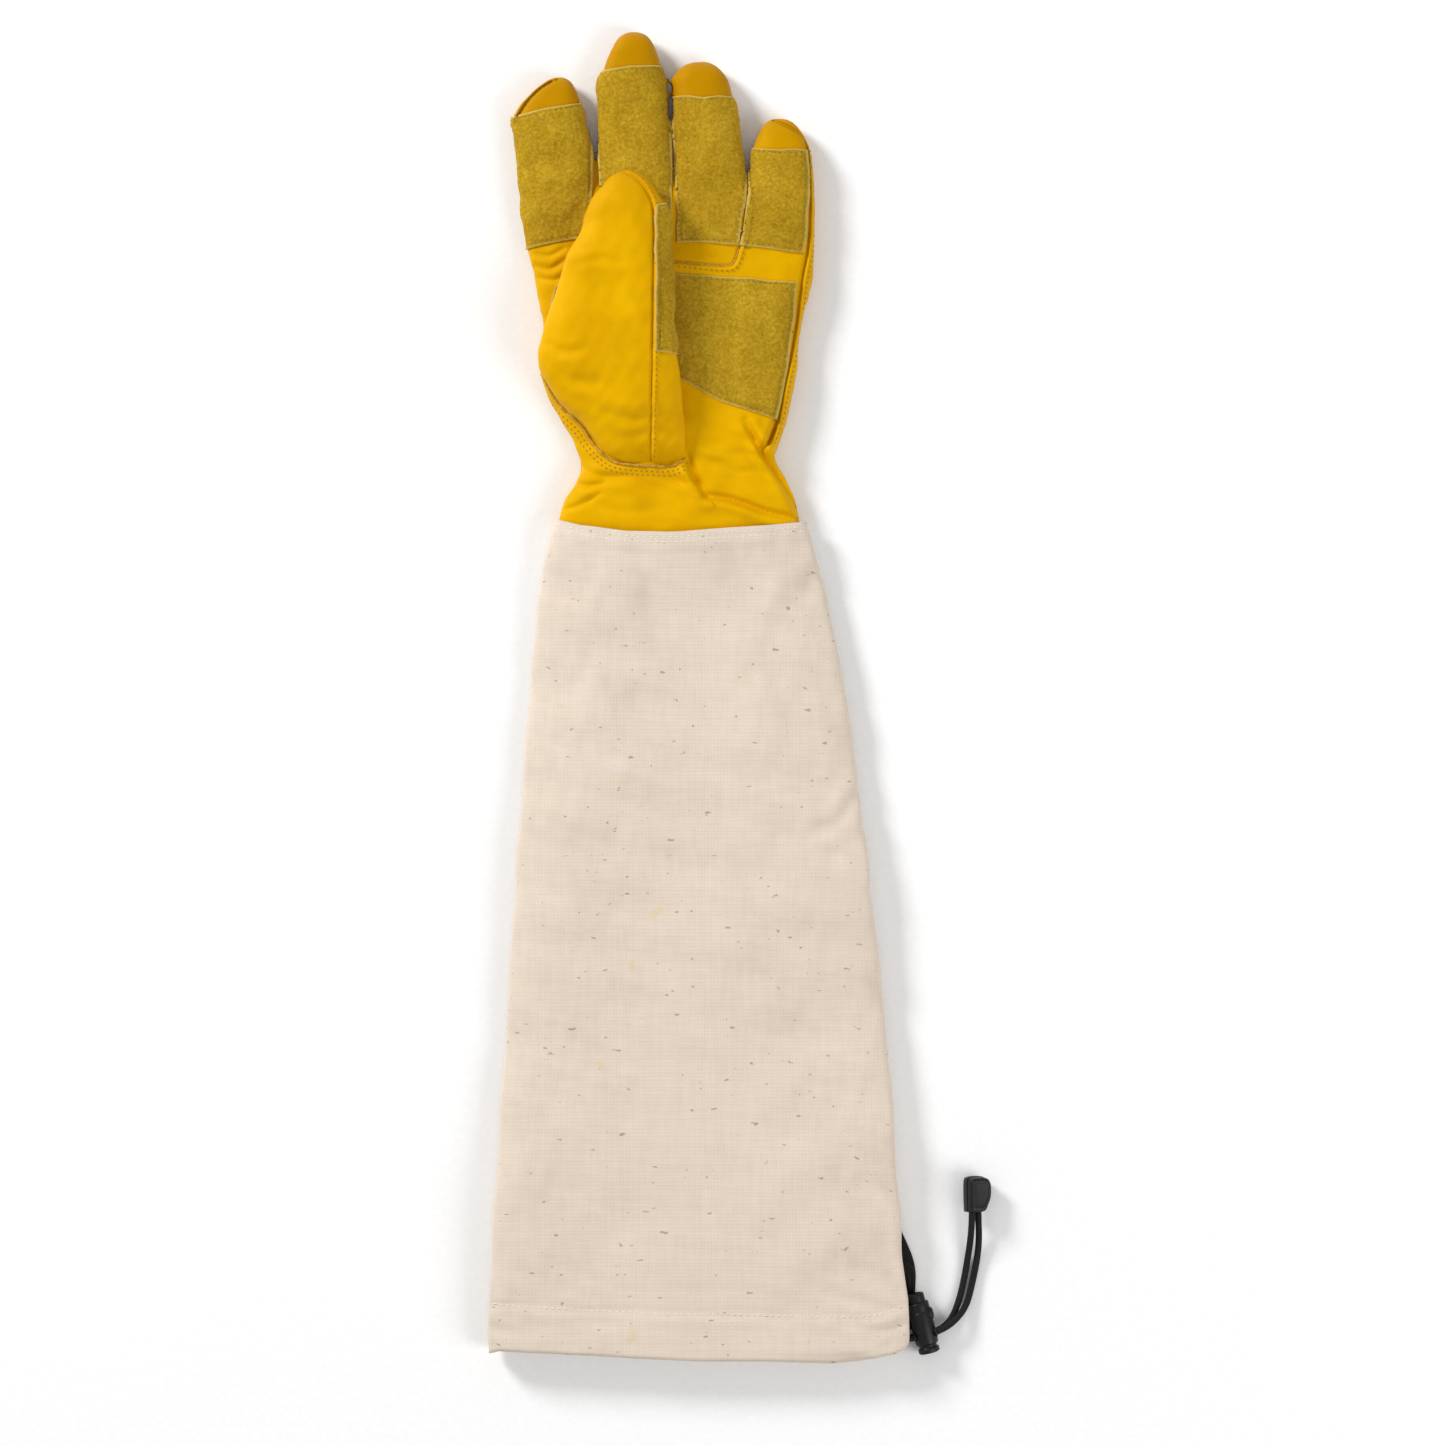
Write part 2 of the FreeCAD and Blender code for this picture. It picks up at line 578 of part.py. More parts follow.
def cord_lock():
    """Barrel with a cross hole for the two strands, the button's plunger and the spring below it."""
    axis = lock_axis()
    bore = LOCK_RADIUS - LOCK_WALL
    hole = CORD / 2 + CORD_PLAY
    pair = CORD + 2 * CORD_PLAY
    floor = BARREL_FOOT - LOCK_WALL
    barrel = Part.makeCylinder(LOCK_RADIUS, BARREL_TOP + BARREL_FOOT, LOCK_CENTRE - axis * BARREL_TOP, axis)
    barrel = barrel.cut(Part.makeCylinder(bore, BARREL_TOP + floor, LOCK_CENTRE - axis * BARREL_TOP, axis))
    barrel = barrel.cut(lock_box(-hole, hole, pair))
    plunger_end = hole + LOCK_WALL
    plunger = Part.makeCylinder(
        bore - PLUNGER_PLAY, BUTTON_END + plunger_end, LOCK_CENTRE - axis * BUTTON_END, axis)
    rim = [e for e in plunger.Edges if e.Curve.TypeId == "Part::GeomCircle"]
    rim = [e for e in rim if (e.CenterOfMass - LOCK_CENTRE).dot(axis) < 0]
    plunger = plunger.makeFillet(1.2, rim)
    plunger = plunger.cut(lock_box(-hole - TRAVEL, hole, CORD + CORD_PLAY / 2))
    spring = coil_spring(floor - plunger_end, bore - PLUNGER_PLAY)
    spring.rotate(V(0, 0, 0), V(1, 0, 0), 90)
    spring.rotate(V(0, 0, 0), V(0, 0, 1), LOCK_TURN)
    spring.translate(LOCK_CENTRE + axis * plunger_end)
    return {"lock_barrel": barrel, "lock_plunger": plunger, "lock_spring": spring}


def cord_end():
    """Two half shells clipped round the ends of the strands, turned about their length."""
    tips = [V(*strand[-1]) for strand in (LOWER_STRAND, UPPER_STRAND)]
    pocket_outline = inset(CORD_END_OUTLINE + CORD_END_OUTLINE[:2], SHELL_WALL)[1:-1]
    pocket = prism(pocket_outline, SHELL_WALL - CORD_END_HALF, CORD_END_HALF - SHELL_WALL)
    nodes = {}
    for name, low, high in (("cord_end_base", -CORD_END_HALF, 0), ("cord_end_cover", 0, CORD_END_HALF)):
        half = prism(CORD_END_OUTLINE, low, high).cut(pocket)
        half.rotate(V(0, 0, 0), V(0, 1, 0), CORD_END_TURN)
        half.translate(CORD_END_ENTRY)
        for tip in tips:
            start = V(tip.x, CORD_END_ENTRY.y - 1, tip.z)
            half = half.cut(Part.makeCylinder(CORD / 2 + CORD_PLAY, 4, start, V(0, 1, 0)))
        nodes[name] = half
    return nodes


def tether_tape():
    """Woven tape from behind the sleeve's edge to the lock, lying on the ground beside the sleeve."""
    half = TAPE_WIDTH / 2
    flat = inset(TAPE_PATH, -half) + inset(TAPE_PATH, half)[::-1]
    left, right = sleeve_sides()
    length = BARREL_TOP + BARREL_FOOT
    barrel_end = LOCK_CENTRE - lock_axis() * BARREL_TOP
    lock = Part.makeCylinder(LOCK_RADIUS + LOCK_GAP, length, barrel_end, lock_axis())
    return prism(flat, 0, TAPE_THICKNESS).cut([prism(left[::-1] + right, 0, HAND_HEIGHT), lock])


def build():
    nodes = {}
    nodes.update(sleeve())
    nodes.update(lower_leather())
    nodes.update(hand_shell())
    nodes["wrist_elastic"] = wrist_elastic()
    nodes.update(fourchette_crotches())
    nodes.update(patch_bases())
    nodes["palm_patch"] = prism(PALM_PATCH, HAND_HEIGHT, PATCH_TOP)
    nodes["thumb_root"] = thumb_root()
    nodes.update(thumb())
    nodes.update(fingertips())
    nodes["hem_drawcord"] = hem_drawcord()
    nodes["strand_lower"] = tube(LOWER_STRAND, "lower strand")
    nodes["strand_upper"] = tube(UPPER_STRAND, "upper strand")
    nodes.update(cord_lock())
    nodes.update(cord_end())
    nodes["tether_tape"] = tether_tape()
    return nodes


os.makedirs("parts", exist_ok=True)
for name, shape in build().items():
    shape.exportStep(f"parts/{name}.step")
    box = shape.BoundBox
    print(f"{name:28s} valid {shape.isValid()} solids {len(shape.Solids)} volume {shape.Volume:9.1f} "
          f"x {box.XMin:7.1f} {box.XMax:7.1f} y {box.YMin:7.1f} {box.YMax:7.1f} "
          f"z {box.ZMin:5.1f} {box.ZMax:5.1f}")
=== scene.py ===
import math

import bmesh
import bpy
import numpy as np
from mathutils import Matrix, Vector
from mathutils.bvhtree import BVHTree


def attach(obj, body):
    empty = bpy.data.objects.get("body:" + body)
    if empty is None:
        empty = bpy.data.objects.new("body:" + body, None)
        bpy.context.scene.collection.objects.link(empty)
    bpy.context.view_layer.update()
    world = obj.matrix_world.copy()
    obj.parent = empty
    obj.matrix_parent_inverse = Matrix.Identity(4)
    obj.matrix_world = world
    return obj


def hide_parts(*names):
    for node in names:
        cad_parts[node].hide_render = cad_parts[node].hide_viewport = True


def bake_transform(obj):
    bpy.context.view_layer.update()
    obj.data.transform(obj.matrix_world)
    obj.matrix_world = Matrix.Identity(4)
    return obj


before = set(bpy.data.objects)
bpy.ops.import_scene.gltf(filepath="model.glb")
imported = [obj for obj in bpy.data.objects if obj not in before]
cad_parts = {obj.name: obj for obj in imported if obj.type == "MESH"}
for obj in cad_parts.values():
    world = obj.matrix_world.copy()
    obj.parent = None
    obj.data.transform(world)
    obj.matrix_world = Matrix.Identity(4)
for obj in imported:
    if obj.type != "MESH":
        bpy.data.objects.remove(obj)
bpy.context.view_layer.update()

# The glove's own measures, in millimetres, in the frame's axes; MM turns them into metres.
MM = 0.001

# ---------------------------------------------------------------- camera
VIEW_WIDTH = 765.8
VIEW_CENTRE = (12.5, -13.0)
CAMERA_HEIGHT = 2600.0

camera = bpy.data.objects.new("camera", bpy.data.cameras.new("camera"))
bpy.context.scene.collection.objects.link(camera)
camera.location = (VIEW_CENTRE[0] * MM, VIEW_CENTRE[1] * MM, CAMERA_HEIGHT * MM)
camera.data.sensor_width = 36.0
camera.data.lens = 36.0 * CAMERA_HEIGHT / VIEW_WIDTH
camera.data.clip_end = 20.0
bpy.context.scene.camera = camera


# ---------------------------------------------------------------- materials
def material(name):
    """A new material with its Principled shader, and a function that adds nodes to it."""
    mat = bpy.data.materials.new(name)
    mat.use_nodes = True
    nodes = mat.node_tree.nodes
    shader = nodes["Principled BSDF"]

    def add(kind, inputs=(), **settings):
        node = nodes.new(kind)
        for key, value in settings.items():
            setattr(node, key, value)
        for key, value in dict(inputs).items():
            if isinstance(value, bpy.types.NodeSocket):
                mat.node_tree.links.new(value, node.inputs[key])
            else:
                node.inputs[key].default_value = value
        return node

    def link(a, b):
        mat.node_tree.links.new(a, b)

    return mat, shader, add, link


def ramp(add, fac, stops):
    """Colour ramp from a list of (position, colour)."""
    node = add("ShaderNodeValToRGB", {"Fac": fac})
    elements = node.color_ramp.elements
    while len(elements) < len(stops):
        elements.new(0.5)
    for element, (position, colour) in zip(elements, stops):
        element.position = position
        element.color = (*colour, 1.0)
    return node.outputs["Color"]


def noise_node(add, vector, scale, detail=4.0, roughness=0.55, distortion=0.0):
    node = add("ShaderNodeTexNoise", {"Vector": vector, "Scale": scale, "Detail": detail,
                                      "Roughness": roughness, "Distortion": distortion})
    return node.outputs["Fac"]


def mixed(add, fac, a, b, blend="MIX"):
    node = add("ShaderNodeMix", data_type="RGBA", blend_type=blend)
    sockets = [s for s in node.inputs if s.enabled]
    values = {"Factor": fac, "A": a, "B": b}
    for socket in sockets:
        value = values[socket.name]
        if isinstance(value, bpy.types.NodeSocket):
            node.id_data.links.new(value, socket)
        elif socket.type == "RGBA":
            socket.default_value = (*value, 1.0)
        else:
            socket.default_value = value
    return [s for s in node.outputs if s.enabled][0]


def bumped(add, height, strength, distance, normal=None):
    inputs = {"Height": height, "Strength": strength, "Distance": distance}
    if normal is not None:
        inputs["Normal"] = normal
    return add("ShaderNodeBump", inputs).outputs["Normal"]


def math_node(add, operation, a, b=0.0, clamp=False):
    node = add("ShaderNodeMath", operation=operation, use_clamp=clamp)
    for socket, value in zip(node.inputs, (a, b)):
        if isinstance(value, bpy.types.NodeSocket):
            node.id_data.links.new(value, socket)
        else:
            socket.default_value = value
    return node.outputs[0]


def leather_material():
    """Golden yellow grain leather: fine pebble grain, soft mottling, a slightly darker tone at the tips."""
    mat, shader, add, link = material("leather_grain")
    where = add("ShaderNodeTexCoord").outputs["Object"]
    mottle = noise_node(add, where, 38.0, 5.0, 0.6, 0.4)
    cloud = noise_node(add, where, 9.0, 3.0, 0.5)
    base = ramp(add, mottle, [(0.3, (0.655, 0.335, 0.0)), (0.55, (0.715, 0.382, 0.0)),
                              (0.8, (0.76, 0.42, 0.0))])
    tone = ramp(add, cloud, [(0.3, (0.88, 0.86, 0.8)), (0.6, (1.0, 1.0, 1.0))])
    colour = mixed(add, 0.8, base, tone, "MULTIPLY")
    position = add("ShaderNodeSeparateXYZ", {"Vector": where}).outputs["Y"]
    tip = add("ShaderNodeMapRange",
              {"Value": position, "From Min": 0.246, "From Max": 0.315}).outputs["Result"]
    colour = mixed(add, math_node(add, "MULTIPLY", tip, 0.92), colour, (0.43, 0.196, 0.0))
    link(colour, shader.inputs["Base Color"])
    grain = add("ShaderNodeTexVoronoi", {"Vector": where, "Scale": 1100.0}, feature="F1").outputs["Distance"]
    creases = noise_node(add, where, 210.0, 6.0, 0.62, 0.8)
    normal = bumped(add, grain, 0.10, 0.0004)
    normal = bumped(add, creases, 0.16, 0.0006, normal)
    normal = bumped(add, noise_node(add, where, 62.0, 4.0), 0.12, 0.0012, normal)
    link(normal, shader.inputs["Normal"])
    shine = ramp(add, creases, [(0.3, (0.5, 0.5, 0.5)), (0.7, (0.66, 0.66, 0.66))])
    link(shine, shader.inputs["Roughness"])
    shader.inputs["Specular IOR Level"].default_value = 0.26
    shader.inputs["Specular Tint"].default_value = (1.0, 0.62, 0.06, 1.0)
    return mat


def suede_material():
    """Split suede: mustard tan with a coarse nap that shows as fine light and dark flecks."""
    mat, shader, add, link = material("suede_nap")
    where = add("ShaderNodeTexCoord").outputs["Object"]
    nap = noise_node(add, where, 620.0, 3.0, 0.7, 0.4)
    blotch = noise_node(add, where, 110.0, 5.0, 0.66, 0.3)
    cloud = noise_node(add, where, 26.0, 4.0, 0.55, 0.6)
    fleck = ramp(add, nap, [(0.3, (0.32, 0.184, 0.004)), (0.5, (0.42, 0.258, 0.012)),
                            (0.7, (0.53, 0.345, 0.028))])
    tone = ramp(add, blotch, [(0.3, (0.86, 0.84, 0.76)), (0.65, (1.04, 1.04, 1.02))])
    colour = mixed(add, 0.9, fleck, tone, "MULTIPLY")
    brushed = ramp(add, cloud, [(0.3, (0.80, 0.76, 0.64)), (0.5, (0.95, 0.93, 0.88)),
                                (0.66, (1.10, 1.12, 1.3))])
    colour = mixed(add, 0.85, colour, brushed, "MULTIPLY")
    edge = add("ShaderNodeAttribute", attribute_name="edge").outputs["Fac"]
    colour = mixed(add, edge, colour, (0.60, 0.47, 0.14))
    link(colour, shader.inputs["Base Color"])
    normal = bumped(add, nap, 0.45, 0.0005)
    normal = bumped(add, blotch, 0.30, 0.0009, normal)
    link(normal, shader.inputs["Normal"])
    shader.inputs["Roughness"].default_value = 0.95
    shader.inputs["Specular IOR Level"].default_value = 0.1
    shader.inputs["Sheen Weight"].default_value = 0.08
    shader.inputs["Sheen Roughness"].default_value = 0.6
    shader.inputs["Sheen Tint"].default_value = (1.0, 0.8, 0.35, 1.0)
    shader.inputs["Specular Tint"].default_value = (1.0, 0.75, 0.25, 1.0)
    return mat


def canvas_material():
    """Unbleached cotton canvas: plain weave, slubs, and a few dark and yellow seed flecks."""
    mat, shader, add, link = material("canvas_weave")
    where = add("ShaderNodeTexCoord").outputs["Object"]
    wobble = noise_node(add, where, 30.0, 3.0)
    warp = add("ShaderNodeTexWave", {"Vector": where, "Scale": 190.0, "Distortion": 1.6, "Detail": 3.0,
                                     "Detail Scale": 2.2}, wave_type="BANDS",
                                     bands_direction="X").outputs["Fac"]
    weft = add("ShaderNodeTexWave", {"Vector": where, "Scale": 170.0, "Distortion": 1.6, "Detail": 3.0,
                                     "Detail Scale": 2.2}, wave_type="BANDS",
                                     bands_direction="Y").outputs["Fac"]
    weave = math_node(add, "MULTIPLY", warp, weft)
    slub = add("ShaderNodeMapping", {"Vector": where, "Scale": (0.12, 1.0, 1.0)}).outputs["Vector"]
    slubs = noise_node(add, slub, 420.0, 3.0, 0.6)
    down = add("ShaderNodeMapping", {"Vector": where, "Scale": (1.0, 0.12, 1.0)}).outputs["Vector"]
    downs = noise_node(add, down, 420.0, 3.0, 0.6)
    base = ramp(add, weave, [(0.0, (0.690, 0.588, 0.490)), (0.5, (0.715, 0.616, 0.518)),
                             (1.0, (0.735, 0.640, 0.545))])
    tone = ramp(add, slubs, [(0.3, (0.965, 0.96, 0.95)), (0.65, (1.02, 1.02, 1.02))])
    colour = mixed(add, 0.8, base, tone, "MULTIPLY")
    tone = ramp(add, downs, [(0.3, (0.965, 0.96, 0.95)), (0.65, (1.02, 1.02, 1.02))])
    colour = mixed(add, 0.8, colour, tone, "MULTIPLY")
    tone = ramp(add, wobble, [(0.3, (0.965, 0.955, 0.94)), (0.7, (1.0, 1.0, 1.0))])
    colour = mixed(add, 0.8, colour, tone, "MULTIPLY")
    squeeze = add("ShaderNodeMapping",
                  {"Vector": where, "Scale": (0.5, 1.0, 1.0), "Rotation": (0, 0, 0.2)}).outputs["Vector"]
    flecks = noise_node(add, squeeze, 330.0, 2.0, 0.5)
    dark = ramp(add, flecks, [(0.70, (0.0, 0.0, 0.0)), (0.73, (1.0, 1.0, 1.0))])
    colour = mixed(add, math_node(add, "MULTIPLY", dark, 0.6), colour, (0.27, 0.16, 0.06))
    seeds = noise_node(add, where, 75.0, 2.0, 0.4)
    seed = ramp(add, seeds, [(0.74, (0.0, 0.0, 0.0)), (0.78, (1.0, 1.0, 1.0))])
    colour = mixed(add, math_node(add, "MULTIPLY", seed, 0.35), colour, (0.66, 0.50, 0.22))
    link(colour, shader.inputs["Base Color"])
    normal = bumped(add, weave, 0.13, 0.0003)
    normal = bumped(add, slubs, 0.12, 0.0005, normal)
    normal = bumped(add, downs, 0.12, 0.0005, normal)
    link(normal, shader.inputs["Normal"])
    shader.inputs["Roughness"].default_value = 0.9
    shader.inputs["Specular IOR Level"].default_value = 0.15
    shader.inputs["Sheen Weight"].default_value = 0.15
    return mat


def black_material(name, roughness, scale, direction=None, depth=0.0003):
    """Near black: moulded plastic when direction is None, or a braid or weave along that axis."""
    mat, shader, add, link = material(name)
    where = add("ShaderNodeTexCoord").outputs["Object"]
    fine = noise_node(add, where, scale, 4.0)
    colour = ramp(add, fine, [(0.3, (0.003, 0.003, 0.003)), (0.7, (0.008, 0.008, 0.008))])
    if direction is None:
        pattern = fine
        strength = 0.08
    else:
        pattern = add("ShaderNodeTexWave",
                      {"Vector": where, "Scale": scale, "Distortion": 1.0, "Detail": 2.0},
                      bands_direction=direction).outputs["Fac"]
        rib = ramp(add, pattern, [(0.0, (0.002, 0.002, 0.002)), (1.0, (0.013, 0.013, 0.014))])
        colour = mixed(add, 0.6, colour, rib)
        strength = 0.5
    link(colour, shader.inputs["Base Color"])
    link(bumped(add, pattern, strength, depth), shader.inputs["Normal"])
    spread = ramp(add, fine, [(0.3, (roughness - 0.06,) * 3), (0.7, (roughness + 0.06,) * 3)])
    link(spread, shader.inputs["Roughness"])
    shader.inputs["Specular IOR Level"].default_value = 0.28
    return mat


def thread_material(name, dark, light):
    mat, shader, add, link = material(name)
    where = add("ShaderNodeTexCoord").outputs["Object"]
    twist = noise_node(add, where, 1500.0, 2.0)
    link(ramp(add, twist, [(0.3, dark), (0.7, light)]), shader.inputs["Base Color"])
    link(bumped(add, twist, 0.3, 0.0002), shader.inputs["Normal"])
    shader.inputs["Roughness"].default_value = 0.7
    return mat


def steel_material():
    mat, shader, add, link = material("spring_wire")
    where = add("ShaderNodeTexCoord").outputs["Object"]
    drawn = noise_node(add, where, 900.0, 3.0)
    link(ramp(add, drawn, [(0.3, (0.45, 0.45, 0.46)), (0.7, (0.62, 0.62, 0.63))]),
         shader.inputs["Base Color"])
    link(ramp(add, drawn, [(0.3, (0.28, 0.28, 0.28)), (0.7, (0.4, 0.4, 0.4))]), shader.inputs["Roughness"])
    shader.inputs["Metallic"].default_value = 1.0
    return mat


LEATHER = leather_material()
SUEDE = suede_material()
CANVAS = canvas_material()
PLASTIC = black_material("black_plastic", 0.42, 500.0)
CORD = black_material("black_braid", 0.75, 520.0, "DIAGONAL")
WEBBING = black_material("black_webbing", 0.7, 330.0, "X")
YELLOW_THREAD = thread_material("yellow_thread", (0.27, 0.125, 0.003), (0.42, 0.21, 0.008))
PALE_THREAD = thread_material("pale_thread", (0.70, 0.63, 0.52), (0.86, 0.80, 0.70))
ELASTIC = thread_material("woven_elastic", (0.55, 0.52, 0.45), (0.75, 0.72, 0.65))
STEEL = steel_material()


# ---------------------------------------------------------------- mesh helpers
def add_object(name, verts, faces, mat, smooth=True):
    """New mesh object from points in millimetres."""
    mesh = bpy.data.meshes.new(name)
    mesh.from_pydata((np.asarray(verts, float) * MM).tolist(), [], [list(map(int, f)) for f in faces])
    mesh.materials.append(mat)
    mesh.update()
    obj = bpy.data.objects.new(name, mesh)
    bpy.context.scene.collection.objects.link(obj)
    if smooth:
        mesh.shade_smooth()
    return obj


def points_of(obj):
    found = np.empty(len(obj.data.vertices) * 3)
    obj.data.vertices.foreach_get("co", found)
    return found.reshape(-1, 3) / MM


def normals_of(obj):
    found = np.empty(len(obj.data.vertices) * 3)
    obj.data.vertices.foreach_get("normal", found)
    return found.reshape(-1, 3)


def move_to(obj, points):
    obj.data.vertices.foreach_set("co", (points * MM).ravel())
    obj.data.update()


def loft_faces(rings, around, closed=True):
    """Quads between rings of points, one after the other."""
    faces = []
    last = around if closed else around - 1
    for i in range(rings - 1):
        for j in range(last):
            k = (j + 1) % around
            faces.append((i * around + j, i * around + k, (i + 1) * around + k, (i + 1) * around + j))
    return faces


def apply_modifiers(obj):
    """Replaces the mesh with what its modifiers make of it."""
    graph = bpy.context.evaluated_depsgraph_get()
    graph.update()
    mesh = bpy.data.meshes.new_from_object(obj.evaluated_get(graph), depsgraph=graph)
    old = obj.data
    obj.modifiers.clear()
    obj.data = mesh
    bpy.data.meshes.remove(old)
    return obj


def remesh(obj, size):
    modifier = obj.modifiers.new("remesh", "REMESH")
    modifier.mode = "VOXEL"
    modifier.voxel_size = size * MM
    modifier.use_smooth_shade = True
    return apply_modifiers(obj)


def relax(obj, times, factor=0.5):
    """Evens out the steps that the voxel mesh leaves."""
    modifier = obj.modifiers.new("relax", "SMOOTH")
    modifier.iterations = times
    modifier.factor = factor
    return apply_modifiers(obj)


def subdivide(obj, levels=1):
    modifier = obj.modifiers.new("subdivide", "SUBSURF")
    modifier.levels = levels
    modifier.render_levels = levels
    return apply_modifiers(obj)


def solidify(obj, thickness, offset=-1.0):
    modifier = obj.modifiers.new("solidify", "SOLIDIFY")
    modifier.thickness = thickness * MM
    modifier.offset = offset
    return apply_modifiers(obj)


def joined(name, parts, mat):
    """One object made of several."""
    bm = bmesh.new()
    for part in parts:
        bm.from_mesh(part.data)
        bpy.data.objects.remove(part)
    mesh = bpy.data.meshes.new(name)
    bm.to_mesh(mesh)
    bm.free()
    mesh.materials.clear()
    mesh.materials.append(mat)
    obj = bpy.data.objects.new(name, mesh)
    bpy.context.scene.collection.objects.link(obj)
    mesh.shade_smooth()
    return obj


def waves(points, length, seed, count=14):
    """A smooth random field of about unit size, with features about as long as given."""
    rng = np.random.default_rng(seed)
    total = np.zeros(len(points))
    for _ in range(count):
        way = rng.normal(size=points.shape[1])
        way *= 2 * math.pi / (length * rng.uniform(0.7, 1.5)) / np.linalg.norm(way)
        total += np.sin(points @ way + rng.uniform(0, 2 * math.pi))
    return total / math.sqrt(count / 2)


def distance_to(points, line):
    """Distance of points from a line of points in plan, the side they are on, and how far along they are."""
    best = np.full(len(points), 1e9)
    side = np.zeros(len(points))
    along = np.zeros(len(points))
    line = np.asarray(line, float)
    start = 0.0
    for a, b in zip(line, line[1:]):
        run = b - a
        length = np.hypot(*run)
        t = np.clip((points[:, :2] - a) @ run / length**2, 0, 1)
        off = points[:, :2] - a - t[:, None] * run
        d = np.hypot(off[:, 0], off[:, 1])
        cross = run[0] * (points[:, 1] - a[1]) - run[1] * (points[:, 0] - a[0])
        near = d < best
        best = np.where(near, d, best)
        side = np.where(near, np.sign(cross), side)
        along = np.where(near, start + t * length, along)
        start += length
    return best, side, along, start


def bell(distance, width):
    return np.exp(-((distance / width) ** 2))


def smooth_step(x, low, high):
    t = np.clip((x - low) / (high - low), 0, 1)
    return t * t * (3 - 2 * t)


def curve_through(points, step=1.0):
    """Points along a smooth line through the given ones, about a step apart."""
    points = np.asarray(points, float)
    padded = np.vstack([2 * points[0] - points[1], points, 2 * points[-1] - points[-2]])
    found = []
    for i in range(1, len(padded) - 2):
        p0, p1, p2, p3 = padded[i - 1 : i + 3]
        count = max(2, int(np.linalg.norm(p2 - p1) / step))
        for t in np.linspace(0, 1, count, endpoint=False):
            found.append(0.5 * (2 * p1 + (p2 - p0) * t + (2 * p0 - 5 * p1 + 4 * p2 - p3) * t**2
                                + (3 * p1 - p0 - 3 * p2 + p3) * t**3))
    found.append(points[-1])
    return np.array(found)


def tree_of(obj):
    mesh = obj.data
    return BVHTree.FromPolygons([v.co for v in mesh.vertices], [p.vertices for p in mesh.polygons])


def drop_on(tree, x, y, top=80.0):
    """Height of a surface under a point, and its normal there."""
    hit, normal, _, _ = tree.ray_cast(Vector((x * MM, y * MM, top * MM)), Vector((0, 0, -1)))
    if hit is None:
        return None
    return hit.z / MM, normal


# ---------------------------------------------------------------- measures of the hand
# Left and right edge of the hand and wrist at rising Y
HAND_EDGES = [
    (80, -73.0, 53.0), (94, -73.4, 53.8), (105, -70.2, 50.6), (115, -64.0, 45.8), (121, -62.8, 41.4),
    (126, -63.2, 40.0), (137, -67.3, 44.0), (147, -72.4, 47.2), (158, -79.4, 49.6), (170, -83.4, 51.6),
    (184, -84.0, 52.8), (196, -82.4, 54.6), (208, -84.6, 57.0), (222, -86.4, 60.0), (237, -90.4, 61.4),
    (256, -93.4, 61.8), (280, -96.0, 61.0),
]
# Fingers: sides as (y, left, right) from the root up to where the tip starts to round,
# then the tip's point and the fullness of its round on each side
FINGERS = {
    "index": ([(232, -86.0, -50.0), (262, -93.2, -52.6), (280, -95.6, -53.8), (301, -98.0, -59.2),
               (306, -98.8, -60.8)],
              (-74.6, 328.6), (0.60, 0.34)),
    "middle": ([(232, -51.0, -14.0), (262, -52.2, -14.2), (280, -52.6, -14.4), (317, -53.6, -16.8),
                (322, -53.6, -17.6)],
               (-35.2, 351.2), (0.44, 0.30)),
    "ring": ([(232, -12.0, 22.0), (262, -12.0, 24.6), (280, -12.0, 23.8), (306, -13.2, 20.2),
              (318, -13.8, 17.8),
              (326, -15.6, 15.8)], (0.3, 336.6), (0.40, 0.40)),
    "little": ([(228, 26.0, 60.6), (256, 27.0, 61.8), (279, 27.6, 60.6), (290, 27.8, 58.8)],
               (41.4, 306.2), (0.42, 0.36)),
}
SKIN_HEIGHT = 17.2         # top of the leather above the ground
GROUND = 0.35              # the leather's underside
NOSE = 8.5                 # length of the round of a fingertip seen from the side


def edges_at(table, y):
    rows = np.asarray(table, float)
    return np.interp(y, rows[:, 0], rows[:, 1]), np.interp(y, rows[:, 0], rows[:, 2])


def cross_section(left, right, low, high, around, square, under=None):
    """A ring of points: a rounded bar between two sides and two heights; under is the squareness below."""
    angle = np.linspace(0, 2 * math.pi, around, endpoint=False)
    c = np.cos(angle)
    s = np.sin(angle)
    power = np.where(s >= 0, 2 / square, 2 / (under or square))
    x = (left + right) / 2 + (right - left) / 2 * np.sign(c) * np.abs(c) ** (2 / square)
    z = (low + high) / 2 + (high - low) / 2 * np.sign(s) * np.abs(s) ** power
    return x, z


def bar(name, rows, around, mat, square=2.6, under=3.4):
    """A closed bar lofted through rows of (y, left, right, low, high)."""
    verts = []
    for y, left, right, low, high in rows:
        x, z = cross_section(left, right, low, high, around, square, under)
        verts += list(zip(x, [y] * around, z))
    faces = loft_faces(len(rows), around)
    faces.append(tuple(range(around)))
    faces.append(tuple(reversed(range((len(rows) - 1) * around, len(rows) * around))))
    return add_object(name, verts, faces, mat)


